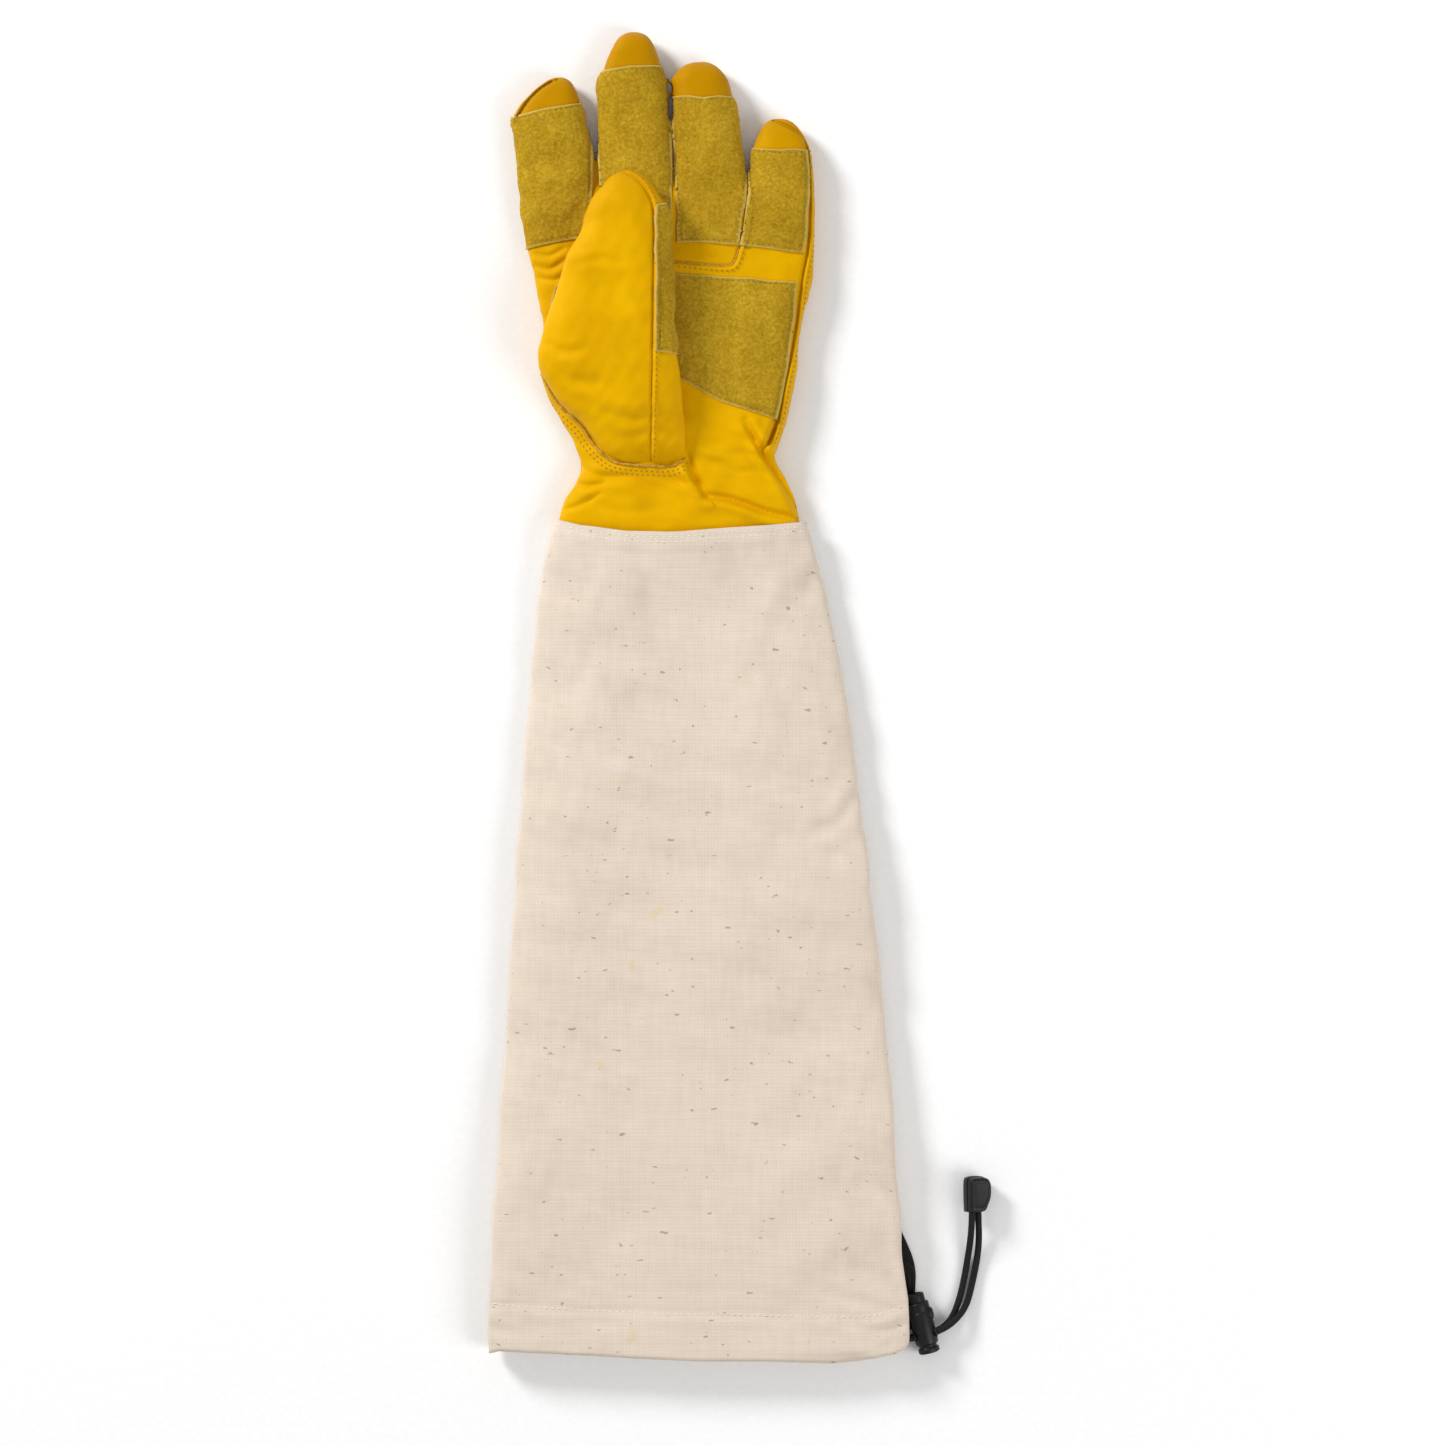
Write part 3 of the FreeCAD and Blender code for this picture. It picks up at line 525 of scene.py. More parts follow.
def finger_bar(name):
    sides, tip, fullness = FINGERS[name]
    rows = []
    y_round = sides[-1][0]
    for y in np.linspace(sides[0][0], y_round, 30):
        left, right = edges_at(sides, y)
        high = SKIN_HEIGHT - 0.6 * smooth_step(y, y_round - 30, y_round)
        start = smooth_step(y, sides[0][0], sides[0][0] + 26)
        rows.append((y, left + 3 * (1 - start), right - 3 * (1 - start), GROUND, high - 3.0 * (1 - start)))
    left0, right0 = edges_at(sides, y_round)
    height0 = rows[-1][4]
    span = tip[1] - y_round
    for t in np.linspace(0, 1, 26)[1:]:
        t = 1 - (1 - t) ** 1.8
        rest = max(1 - t, 1e-4)
        y = y_round + span * t
        left = tip[0] - (tip[0] - left0) * rest ** fullness[0]
        right = tip[0] + (right0 - tip[0]) * rest ** fullness[1]
        nose = min(1.0, span * rest / NOSE)
        thick = math.sqrt(1 - (1 - nose) ** 2) * (0.86 + 0.14 * rest ** 0.5)
        low = GROUND + (1 - thick) * 6.5
        rows.append((y, left, right, low, low + (height0 - GROUND) * thick))
    return bar(name, rows, 72, LEATHER)


def palm_bar():
    rows = []
    for y in np.linspace(80, 276, 140):
        left, right = edges_at(HAND_EDGES, y)
        high = SKIN_HEIGHT
        end = smooth_step(y, 256, 276)
        high -= 7.0 * end**2
        left += 9 * end**2
        right -= 9 * end**2
        low = GROUND + 3.0 * end**2
        rows.append((y, left, right, low, high))
    return bar("palm", rows, 160, LEATHER, square=3.4, under=4.5)


# ---------------------------------------------------------------- seams and creases of the hand, in plan
LITTLE_SEAM = [(39.5, 304.6), (50.5, 299.2), (56.6, 291.5), (58.4, 266.0), (57.5, 238.0), (54.3, 219.4),
               (49.9, 188.3), (45.1, 165.0), (41.4, 146.5), (36.6, 134.0)]
INDEX_SEAM = [(-95.6, 305.5), (-92.6, 311.0), (-88.6, 316.4), (-83.2, 321.4), (-77.5, 325.0)]
FRONT_SEAM = [(-49.5, 250.0), (-47.0, 233.0), (-40.0, 229.8), (-14.8, 230.0), (2.0, 228.4), (14.5, 227.6),
              (18.4, 229.0),
              (20.7, 235.4), (24.0, 249.0), (25.6, 266.0)]
ROOT_SEAM = [(-83.6, 171.0), (-74.2, 155.0), (-62.2, 143.4), (-56.2, 134.4), (-49.8, 127.6), (-42.4, 123.6),
              (-25.4, 122.0), (-13.3, 122.4), (-6.9, 126.6)]
CREASES = [  # points, depth, width, height of the fold along the line's left side and along its right side
    ([(24.4, 146.0), (30.0, 135.5), (35.4, 127.0), (44.4, 113.5), (54.0, 96.0)], 3.8, 2.0, 2.6, 0.5),
    ([(41.0, 146.0), (38.0, 137.0), (33.6, 130.0)], 2.6, 1.6, 0.6, 1.2),
    ([(-6.6, 127.5), (-1.5, 116.0), (5.0, 106.0)], 3.4, 2.2, 0.3, 2.4),
    ([(3.0, 106.6), (15.2, 105.0), (26.0, 101.5), (35.3, 98.0), (54.4, 94.0)], 2.9, 2.0, 0.2, 2.4),
    ([(16.0, 141.0), (24.0, 134.0), (29.0, 125.0), (38.0, 113.0)], 1.2, 3.2, 0.8, 0.3),
    ([(-70.5, 99.5), (-63.0, 101.5), (-52.0, 107.5)], 0.9, 1.5, 0.6, 0.3),
    ([(-64.5, 113.0), (-58.5, 111.5), (-50.0, 113.0)], 0.9, 1.5, 0.5, 0.3),
    ([(-62.5, 121.0), (-52.0, 117.0), (-36.0, 116.5)], 0.9, 1.8, 0.5, 0.3),
    ([(-62.0, 104.0), (-44.0, 99.0), (-22.0, 98.5)], 0.7, 3.0, 0.5, 0.3),
    ([(-22.0, 117.0), (-9.0, 113.5), (-1.0, 107.0)], 1.0, 2.2, 0.6, 0.2),
    ([(8.0, 124.0), (19.0, 119.5), (30.0, 119.5)], 0.7, 2.2, 0.5, 0.2),
    ([(4.0, 133.0), (14.0, 129.0), (25.0, 129.0)], 0.6, 2.2, 0.4, 0.2),
    ([(-86.0, 228.0), (-78.0, 226.0), (-70.0, 231.0)], 0.9, 1.4, 0.5, 0.2),
    ([(-84.0, 221.5), (-76.0, 220.0), (-70.0, 223.0)], 0.8, 1.4, 0.4, 0.2),
    ([(-85.0, 234.0), (-78.0, 233.0), (-71.0, 237.0)], 0.6, 1.3, 0.4, 0.2),
]


def crease_skin(points, normals):
    """How far each point of the skin moves along Z for seams, creases and gathers."""
    up = smooth_step(normals[:, 2], 0.05, 0.5)
    lift = np.zeros(len(points))
    for line, depth, width, fold_left, fold_right in CREASES:
        line = curve_through(line, 3.0)
        d, side, along, length = distance_to(points, line)
        ends = np.sin(math.pi * np.clip((along + 1.5) / (length + 3.0), 0, 1)) ** 0.5
        lift -= depth * bell(d, width) * ends
        ridge = bell(d - width * 2.0, width * 1.7)
        lift += np.where(side > 0, fold_left, fold_right) * ridge * ends
    for line, depth, width, lip, to_left in ((LITTLE_SEAM, 2.3, 0.8, 0.7, 1), (INDEX_SEAM, 2.0, 0.8, 1.3, 1),
                                             (FRONT_SEAM, 1.3, 0.8, 0.9, -1)):
        d, side, along, length = distance_to(points, curve_through(line, 3.0))
        lift -= depth * bell(d, width)
        lift += lip * bell(d - 2.0, 1.3) * (side * to_left > 0)
    return lift * up


def gather(points, normals):
    """Gathers and waves of the empty leather round the wrist."""
    y = points[:, 1]
    near_wrist = np.exp(-(((y - 122.0) / 16.0) ** 2))
    wrist = near_wrist * waves(points[:, :2] * (0.45, 1.0), 9.0, 11)
    soft = waves(points, 34.0, 5)
    fine = waves(points * (1.0, 1.6, 1.0), 12.0, 8)
    move = 0.40 * wrist + 0.38 * soft + 0.10 * fine
    below = normals[:, 2] < -0.3
    return np.where(below, 0.15 * move, move)


def hand_skin():
    """One skin for palm, back and the four fingers, still in one piece."""
    parts = [palm_bar()] + [finger_bar(name) for name in FINGERS]
    skin = joined("hand_skin", parts, LEATHER)
    skin = remesh(skin, 1.35)
    skin = subdivide(relax(skin, 8))
    points = points_of(skin)
    normals = normals_of(skin)
    points = points + normals * gather(points, normals)[:, None]
    points[:, 2] += crease_skin(points, normals)
    points[:, 2] = np.maximum(points[:, 2], GROUND * 0.5)
    move_to(skin, points)
    return skin


# ---------------------------------------------------------------- free cords
CORD_DIAMETER = 3.5
STRANDS = {
    "strand_lower": ([
        (110.6, -338.8, 4.3), (118.6, -336.85, 4.3), (127.6, -334.4, 4.3), (133.6, -329.2, 2.6),
        (137.4, -320.4, 2.0),
        (140.2, -309.0, 1.9), (142.2, -297.4, 2.8), (143.7, -286.0, 6.2), (144.3, -275.4, 9.2),
        (144.3, -267.0, 9.4),
    ], 0.0899),
    "strand_upper": ([
        (110.6, -338.8, 7.9), (118.6, -336.85, 7.9), (127.8, -334.3, 7.9), (135.4, -329.4, 6.6),
        (141.8, -321.6, 3.1),
        (144.8, -309.6, 1.9), (147.3, -297.6, 2.1), (148.3, -286.2, 4.4), (147.7, -275.8, 7.1),
        (147.7, -267.2, 7.3),
    ], 0.0929),
}


def cords():
    strands = {}
    for name, (route, length) in STRANDS.items():
        curve = bpy.data.curves.new(name + "_braid", "CURVE")
        curve.dimensions = "3D"
        spline = curve.splines.new("NURBS")
        spline.points.add(len(route) - 1)
        for point, place in zip(spline.points, route):
            point.co = (*(value * MM for value in place), 1.0)
        spline.order_u = 3
        spline.use_endpoint_u = True
        spline.resolution_u = 10
        curve.bevel_depth = CORD_DIAMETER / 2 * MM
        curve.bevel_resolution = 6
        curve.use_fill_caps = True
        curve.materials.append(CORD)
        obj = bpy.data.objects.new(name + "_braid", curve)
        bpy.context.scene.collection.objects.link(obj)
        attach(obj, "sleeve")
        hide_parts(name)
        strands[name] = obj
    return strands


strands = cords()

# ---------------------------------------------------------------- the hand's skin, one piece per body
BENDS = {"index": (-75.0, 282.0, 8.0), "middle": (-33.0, 282.0, 2.5), "ring": (5.9, 282.0, 5.7),
         "little": (44.4, 272.0, 4.5)}
GAPS = {"index_middle": (-53.4, -0.06), "middle_ring": (-13.2, -0.045), "ring_little": (26.0, 0.0)}
BORDER = -3.0              # from a finger's bend line down to the border of its piece


def finger_axis(name):
    lean = math.radians(BENDS[name][2])
    return np.array([-math.sin(lean), math.cos(lean)])


def along_finger(name, points):
    return (points[:, :2] - np.array(BENDS[name][:2])) @ finger_axis(name)


def blend_finger(obj):
    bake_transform(obj)


def blend_wrist(obj):
    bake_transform(obj)


def part_of_mesh(obj, keep, name, mat):
    """New object from the polygons where keep is true, with the whole mesh's own normals at the border."""
    mesh = obj.data
    polygons = np.array([p.vertices[:] + (p.vertices[-1],
                                          ) * (4 - len(p.vertices)) for p in mesh.polygons])[keep]
    used, index = np.unique(polygons, return_inverse=True)
    index = index.reshape(-1, 4)
    faces = [tuple(dict.fromkeys(face)) for face in index.tolist()]
    normals = normals_of(obj)[used]
    part = add_object(name, points_of(obj)[used], faces, mat)
    part.data.normals_split_custom_set_from_vertices(normals.tolist())
    return part


skin = hand_skin()
skin_tree = tree_of(skin)
centres = np.empty(len(skin.data.polygons) * 3)
skin.data.polygons.foreach_get("center", centres)
centres = centres.reshape(-1, 3) / MM

FINGER_NODES = {
    "index": ("index_tip_back", "index_tip_front", "index_fourchette_index_middle"),
    "middle": ("middle_tip_back", "middle_tip_front", "middle_fourchette_index_middle",
               "middle_fourchette_middle_ring"),
    "ring": ("ring_tip_back", "ring_tip_front", "ring_fourchette_middle_ring",
             "ring_fourchette_ring_little"),
    "little": ("little_tip_back", "little_tip_front", "little_fourchette_ring_little"),
}


def which_finger(points):
    """0 to 3 from the index finger to the little finger, by the gaps between them."""
    return sum((points[:, 0] > x + lean * (points[:, 1] - 277.0)).astype(int) for x, lean in GAPS.values())


fingers_here = which_finger(centres)
in_finger = {}
for number, name in enumerate(FINGERS):
    in_finger[name] = (fingers_here == number) & (along_finger(name, centres) > BORDER)
in_palm = ~np.any(list(in_finger.values()), axis=0)
in_wrist = in_palm & (centres[:, 1] < 119.0)
in_palm &= ~in_wrist

palm_skin = part_of_mesh(skin, in_palm, "hand_leather", LEATHER)
wrist_skin = part_of_mesh(skin, in_wrist, "wrist_leather", LEATHER)
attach(palm_skin, "hand")
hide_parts("back_panel", "palm_panel", "middle_ring_front", "fourchette_index_middle",
            "fourchette_middle_ring", "fourchette_ring_little")
blend_wrist(wrist_skin)
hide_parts("wrist_back", "wrist_front")
finger_skins = {}
for name in FINGERS:
    finger_skins[name] = part_of_mesh(skin, in_finger[name], name + "_leather", LEATHER)
    blend_finger(finger_skins[name])
    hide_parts(*FINGER_NODES[name])


# ---------------------------------------------------------------- thumb
THUMB_LEFT_SIDE = [(122.4, -34.0), (124.6, -43.0), (129.5, -49.6), (136, -54.8), (145, -60.6),
                   (155.5, -72.4), (164, -79.4),
                   (172, -84.0), (182, -84.8), (194, -81.4), (203, -78.0), (217, -73.8), (231.6, -68.6),
                   (244, -62.6),
                   (254, -59.4)]
THUMB_RIGHT_SIDE = [(122.4, -18.0), (124.6, -10.6), (129.0, -6.8), (140, -7.4), (162, -9.0), (183, -12.2),
                    (235, -14.6),
                    (254, -15.4)]
THUMB_TIP = (-37.0, 276.4)
THUMB_SEAM = [(-38.6, 275.4), (-32.0, 271.0), (-27.0, 264.5), (-23.8, 256.0), (-23.4, 240.0), (-24.0, 190.0),
              (-24.6, 160.0), (-25.4, 124.6)]
THUMB_RISE = [(122.4, 17.6), (124.6, 19.8), (130, 24.0), (140, 29.0), (155, 34.0), (175, 37.4),
              (200, 38.4), (240, 38.2),
              (254, 37.4)]


def thumb_skin():
    rows = []
    left_side = np.array([(y, x) for y, x in THUMB_LEFT_SIDE])
    right_side = np.array(THUMB_RIGHT_SIDE)
    rise = np.array(THUMB_RISE)
    for y in np.linspace(122.4, 254, 80):
        left = np.interp(y, left_side[:, 0], left_side[:, 1])
        right = np.interp(y, right_side[:, 0], right_side[:, 1])
        low = 13.5 + 5.6 * smooth_step(y, 158, 184)
        rows.append((y, left, right, low, np.interp(y, rise[:, 0], rise[:, 1])))
    y0, left0, right0, low0, high0 = rows[-1]
    for t in np.linspace(0, 1, 26)[1:]:
        t = 1 - (1 - t) ** 1.8
        rest = max(1 - t, 1e-4)
        width = rest**0.47
        middle = THUMB_TIP[0] + ((left0 + right0) / 2 - THUMB_TIP[0]) * rest
        nose = min(1.0, (THUMB_TIP[1] - y0) * rest / (NOSE + 2))
        thick = math.sqrt(1 - (1 - nose) ** 2) * (0.84 + 0.16 * rest ** 0.5)
        low = low0 + (1 - thick) * 7.0
        rows.append((y0 + (THUMB_TIP[1] - y0) * t, middle - (middle - left0) * width,
                     middle + (right0 - middle) * width,
                     low, low + (high0 - low0) * thick))
    thumb = bar("thumb_leather", rows, 96, LEATHER, square=2.35, under=3.2)
    thumb = remesh(thumb, 1.2)
    thumb = subdivide(relax(thumb, 8))
    points = points_of(thumb)
    normals = normals_of(thumb)
    up = smooth_step(normals[:, 2], 0.0, 0.5)
    points += normals * (0.42 * waves(points, 26.0, 21) + 0.12 * waves(points, 9.0, 22))[:, None]
    d, side, along, length = distance_to(points, curve_through(THUMB_SEAM, 2.0))
    points[:, 2] += up * (-1.5 * bell(d, 0.7) + 0.7 * bell(d - 1.9,
        1.2) * (side > 0) - 0.3 * (side < 0) * bell(d, 6.0))
    for line, depth, width in (([(-80, 186), (-70, 181), (-58, 182)], 0.8, 2.4),
                               ([(-76, 174), (-66, 166), (-50, 164)], 1.0, 3.0),
                               ([(-20, 150), (-34, 146), (-52, 150)], 0.7, 3.0),
                               ([(-12, 136), (-22, 140), (-40, 136)], 0.6, 2.4),
                               ([(-66, 226), (-52, 229), (-38, 226)], 0.5, 2.2)):
        d, side, along, length = distance_to(points, curve_through(line, 2.0))
        ends = np.sin(math.pi * np.clip(along / length, 0, 1)) ** 0.5
        points[:, 2] += up * ends * (-depth * bell(d, width) + 0.5 * depth * bell(d - 2 * width, width))
    move_to(thumb, points)
    return thumb


def blend_thumb(obj):
    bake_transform(obj)


thumb = thumb_skin()
thumb_tree = tree_of(thumb)
blend_thumb(thumb)
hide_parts("thumb_root", "thumb_outer", "thumb_inner")


# ---------------------------------------------------------------- suede patches
PATCHES = {  # outline in plan, wider than the finger where the patch runs round its sides
    "index_patch": [(-108, 304.6), (-98, 306.4), (-82, 310.0), (-63.5, 313.8), (-56.6, 315.0),
                    (-56.0, 276.0), (-57.0, 241.8),
                    (-64.7, 241.7), (-77, 239.6), (-89.6, 237.0), (-100, 236.0)],
    "middle_patch": [(-57.2, 330.0), (-53, 330.4), (-36, 332.6), (-20.0, 333.4), (-15.8, 333.6),
                     (-14.0, 276.0), (-14.4, 241.0),
                     (-31, 240.2), (-50.6, 240.6), (-52.4, 276.0)],
    "ring_patch": [(-15.0, 317.4), (-12, 317.4), (2, 316.4), (17.8, 317.0), (25, 317.0), (25.6, 276.0),
                   (25.4, 267.0),
                   (21.0, 238.2), (4, 239.6), (-11.6, 239.6), (-12.6, 276.0)],
    "little_patch": [(26.4, 290.4), (32, 290.2), (43, 288.8), (57.2, 288.9), (58.2, 276.0), (57.4, 256.0),
                     (55.3, 234.3),
                     (38, 236.6), (22.0, 238.2), (26.3, 266.0)],
    "palm_patch": [(-64.0, 222.4), (-45.0, 222.0), (-14.3, 223.4), (20, 221.2), (51.8, 219.1),
                   (50.0, 200.0), (47.8, 182.9),
                   (44.6, 164.5), (40.6, 146.4), (26.5, 151.6), (11.1, 156.4), (-8.5, 167.0), (-30.0, 178.0),
                   (-60.0, 190.0), (-77.6, 194.0), (-78.8, 200.5), (-77.4, 209.6), (-75.2, 216.4),
                   (-70.8, 221.0)],
    "thumb_patch": [(-22.2, 257.6), (-17.0, 259.0), (-8, 259.0), (-7.0, 179.6), (-14.0, 180.6),
                    (-22.8, 181.0)],
}
SUEDE_THICKNESS = 1.25


def inside(points, outline):
    """Which points lie inside a closed outline in plan."""
    outline = np.asarray(outline, float)
    x, y = points[:, 0], points[:, 1]
    found = np.zeros(len(points), bool)
    for a, b in zip(outline, np.roll(outline, -1, axis=0)):
        crosses = (a[1] > y) != (b[1] > y)
        with np.errstate(divide="ignore", invalid="ignore"):
            found ^= crosses & (x < (b[0] - a[0]) * (y - a[1]) / (b[1] - a[1]) + a[0])
    return found


def hand_cut(outline, seed, step=7.0, off=0.28):
    """The outline with the small wander of a hand-cut edge."""
    rng = np.random.default_rng(seed)
    outline = np.asarray(outline, float)
    found = []
    for a, b in zip(outline, np.roll(outline, -1, axis=0)):
        length = np.hypot(*(b - a))
        normal = np.array([a[1] - b[1], b[0] - a[0]]) / length
        count = max(1, int(length / step))
        for k in range(count):
            found.append(a + (b - a) * k / count + normal * rng.normal() * off)
    return np.array(found)


def patch(name, source, outline, seed):
    """A suede piece cut to the outline from the leather under it, raised by its own thickness."""
    outline = hand_cut(outline, seed)
    low, high = outline.min(axis=0) - 2, outline.max(axis=0) + 2
    bm = bmesh.new()
    bm.from_mesh(source.data)
    bm.normal_update()
    away = []
    for face in bm.faces:
        c = face.calc_center_median() / MM
        if not (low[0] < c.x < high[0] and low[1] < c.y < high[1]) or face.normal.z < -0.05:
            away.append(face)
    bmesh.ops.delete(bm, geom=away, context="FACES")
    for a, b in zip(outline, np.roll(outline, -1, axis=0)):
        bmesh.ops.bisect_plane(bm, geom=bm.verts[:] + bm.edges[:] + bm.faces[:], dist=1e-7,
                               plane_co=(a[0] * MM, a[1] * MM, 0), plane_no=(b[1] - a[1], a[0] - b[0], 0))
    middle = np.array([face.calc_center_median()[:] for face in bm.faces]) / MM
    keep = inside(middle, outline)
    bmesh.ops.delete(bm, geom=[f for f, k in zip(bm.faces[:], keep) if not k], context="FACES")
    mesh = bpy.data.meshes.new(name)
    bm.to_mesh(mesh)
    bm.free()
    mesh.materials.clear()
    mesh.materials.append(SUEDE)
    obj = bpy.data.objects.new(name, mesh)
    bpy.context.scene.collection.objects.link(obj)
    points = points_of(obj)
    normals = normals_of(obj)
    loop = np.vstack([outline, outline[:1]])
    d = distance_to(points, loop)[0]
    nap = 0.05 * waves(points, 3.0, seed + 1) + 0.24 * waves(points, 16.0, seed + 2)
    groove = 0.45 * bell(d - 1.7, 0.7)
    rounded = 0.35 * bell(d, 0.6)
    points += normals * (SUEDE_THICKNESS + nap * smooth_step(d, 0.0, 3.0) - groove - rounded)[:, None]
    move_to(obj, points)
    obj = solidify(obj, SUEDE_THICKNESS + 0.25)
    points = points_of(obj)
    d = distance_to(points, loop)[0]
    edge = obj.data.attributes.new("edge", "FLOAT", "POINT")
    edge.data.foreach_set("value", 0.75 * bell(d, 0.55))
    obj.data.shade_smooth()
    return obj


patches = {}
for seed, name in enumerate(("index", "middle", "ring", "little")):
    obj = patch(name + "_suede", skin, PATCHES[name + "_patch"], 40 + seed * 5)
    blend_finger(obj)
    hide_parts(name + "_patch_base", name + "_patch_tip")
    patches[name] = obj
patches["palm"] = patch("palm_suede", skin, PATCHES["palm_patch"], 70)
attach(patches["palm"], "hand")
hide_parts("palm_patch")
patches["thumb"] = patch("thumb_suede", thumb, PATCHES["thumb_patch"], 80)
blend_thumb(patches["thumb"])
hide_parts("thumb_patch")


# ---------------------------------------------------------------- stitches
def capsule(length, radius, rings=5, around=6):
    """Points and faces of one thread stitch along X, arched over the hole at each end."""
    verts = []
    for t in np.linspace(-1, 1, rings):
        r = radius * (1 - abs(t) ** 4) ** 0.5 + radius * 0.12
        for a in np.linspace(0, 2 * math.pi, around, endpoint=False):
            verts.append((t * length / 2, r * math.cos(a), r * math.sin(a) - 0.5 * radius * t * t))
    faces = loft_faces(rings, around)
    faces.append(tuple(reversed(range(around))))
    faces.append(tuple(range((rings - 1) * around, rings * around)))
    return np.array(verts), faces


def stitches(name, lines, tree, mat, length=2.2, gap=1.0, radius=0.32, lift=0.05, seed=0, closed=False):
    """Rows of stitches laid on a surface along lines in plan."""
    rng = np.random.default_rng(seed)
    shape, shape_faces = capsule(length, radius)
    verts, faces = [], []
    for line in lines:
        line = np.asarray(line, float)
        if closed:
            line = np.vstack([line, line[:1]])
        runs = np.hypot(*np.diff(line, axis=0).T)
        marks = np.concatenate([[0], np.cumsum(runs)])
        for s in np.arange(length / 2, marks[-1] - length / 2, length + gap):
            ends = []
            for offset in (-length / 2, length / 2):
                x = np.interp(s + offset, marks, line[:, 0])
                y = np.interp(s + offset, marks, line[:, 1])
                ends.append((x, y))
            a, b = np.array(ends)
            x, y = (a + b) / 2
            hit = drop_on(tree, x, y)
            hit_a = drop_on(tree, *a)
            hit_b = drop_on(tree, *b)
            if not (hit and hit_a and hit_b) or hit[1].z < 0.15:
                continue
            u = np.array([*(b - a), hit_b[0] - hit_a[0]])
            if abs(u[2]) > 1.5 * length:
                continue
            u /= np.linalg.norm(u)
            n = np.array(hit[1][:])
            w = np.cross(n, u)
            w /= np.linalg.norm(w)
            n = np.cross(u, w)
            turn = rng.normal() * 0.05
            u2 = u * math.cos(turn) + w * math.sin(turn)
            w2 = np.cross(n, u2)
            place = np.array([x, y, hit[0]]) + n * lift
            start = len(verts)
            verts += list(place + shape @ np.array([u2, w2, n]))
            faces += [tuple(start + i for i in face) for face in shape_faces]
    return add_object(name, verts, faces, mat)


def offset_line(line, distance):
    """The line moved sideways, to its left for a positive distance."""
    line = np.asarray(line, float)
    way = np.gradient(line, axis=0)
    way /= np.linalg.norm(way, axis=1)[:, None]
    return line + distance * np.stack([-way[:, 1], way[:, 0]], axis=1)


def inset_outline(outline, distance):
    """A closed outline drawn in by a distance."""
    outline = np.asarray(outline, float)
    area = sum(a[0] * b[1] - a[1] * b[0] for a, b in zip(outline, np.roll(outline, -1, axis=0)))
    sign = 1 if area > 0 else -1
    lines = []
    for a, b in zip(outline, np.roll(outline, -1, axis=0)):
        way = (b - a) / np.hypot(*(b - a))
        normal = sign * np.array([-way[1], way[0]])
        lines.append((a + normal * distance, way))
    found = []
    for (p, u), (q, v) in zip([lines[-1]] + lines[:-1], lines):
        cross = u[0] * v[1] - u[1] * v[0]
        if abs(cross) < 0.02:
            found.append(q)
            continue
        t = ((q[0] - p[0]) * v[1] - (q[1] - p[1]) * v[0]) / cross
        found.append(p + u * t)
    return np.array(found)


def densify(line, step=2.0):
    line = np.asarray(line, float)
    found = [line[0]]
    for a, b in zip(line, line[1:]):
        count = max(1, int(np.hypot(*(b - a)) / step))
        for k in range(1, count + 1):
            found.append(a + (b - a) * k / count)
    return np.array(found)


patch_trees = {name: tree_of(obj) for name, obj in patches.items()}
# Mustard thread darkened past its own colour to stand for the shade in the stitch grooves and holes: painted
# shade.
SHADE_DARK_THREAD = thread_material("thread_with_painted_shade", (0.17, 0.105, 0.010), (0.30, 0.20, 0.03))
for name, obj in patches.items():
    outline = inset_outline(PATCHES[name + "_patch"], 1.7)
    if name == "thumb":
        outline = np.array([(-20.4, 255.4), (-20.8, 183.2), (-14.0, 182.6)])
        rows = [densify([(-15.0, 256.4), *outline.tolist()])]
    else:
        rows = [densify(np.vstack([outline, outline[:1]]))]
    row = stitches(name + "_suede_stitches", rows, patch_trees[name], SHADE_DARK_THREAD, length=1.3, gap=1.5,
                   radius=0.26,
                   lift=-0.02, seed=len(name))
    if name == "palm":
        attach(row, "hand")
    elif name == "thumb":
        blend_thumb(row)
    else:
        blend_finger(row)

seam_rows = {
    "little_seam_stitches": [offset_line(curve_through(LITTLE_SEAM), 3.0)],
    "front_seam_stitches": [offset_line(curve_through(FRONT_SEAM), -2.8)],
    "root_seam_stitches": [offset_line(curve_through(ROOT_SEAM), -off) for off in (2.8, 4.8)],
}
for seed, (name, rows) in enumerate(seam_rows.items()):
    row = stitches(name, rows, skin_tree, YELLOW_THREAD, length=1.5, gap=1.3, radius=0.36, lift=-0.04,
                   seed=seed)
    if name == "little_seam_stitches":
        blend_finger(row)
    else:
        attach(row, "hand")
# The index seam's stitches use the same thread, darkened as painted shade.
row = stitches("index_seam_stitches", [offset_line(curve_through(INDEX_SEAM), -0.4)], skin_tree, SHADE_DARK_THREAD,
               length=1.9, gap=1.0, radius=0.42, lift=0.1, seed=8)
blend_finger(row)
row = stitches("thumb_seam_threads", [offset_line(curve_through(THUMB_SEAM), 2.2)], thumb_tree,
               YELLOW_THREAD,
               length=1.7, gap=1.3, radius=0.3, lift=-0.05, seed=9)
blend_thumb(row)


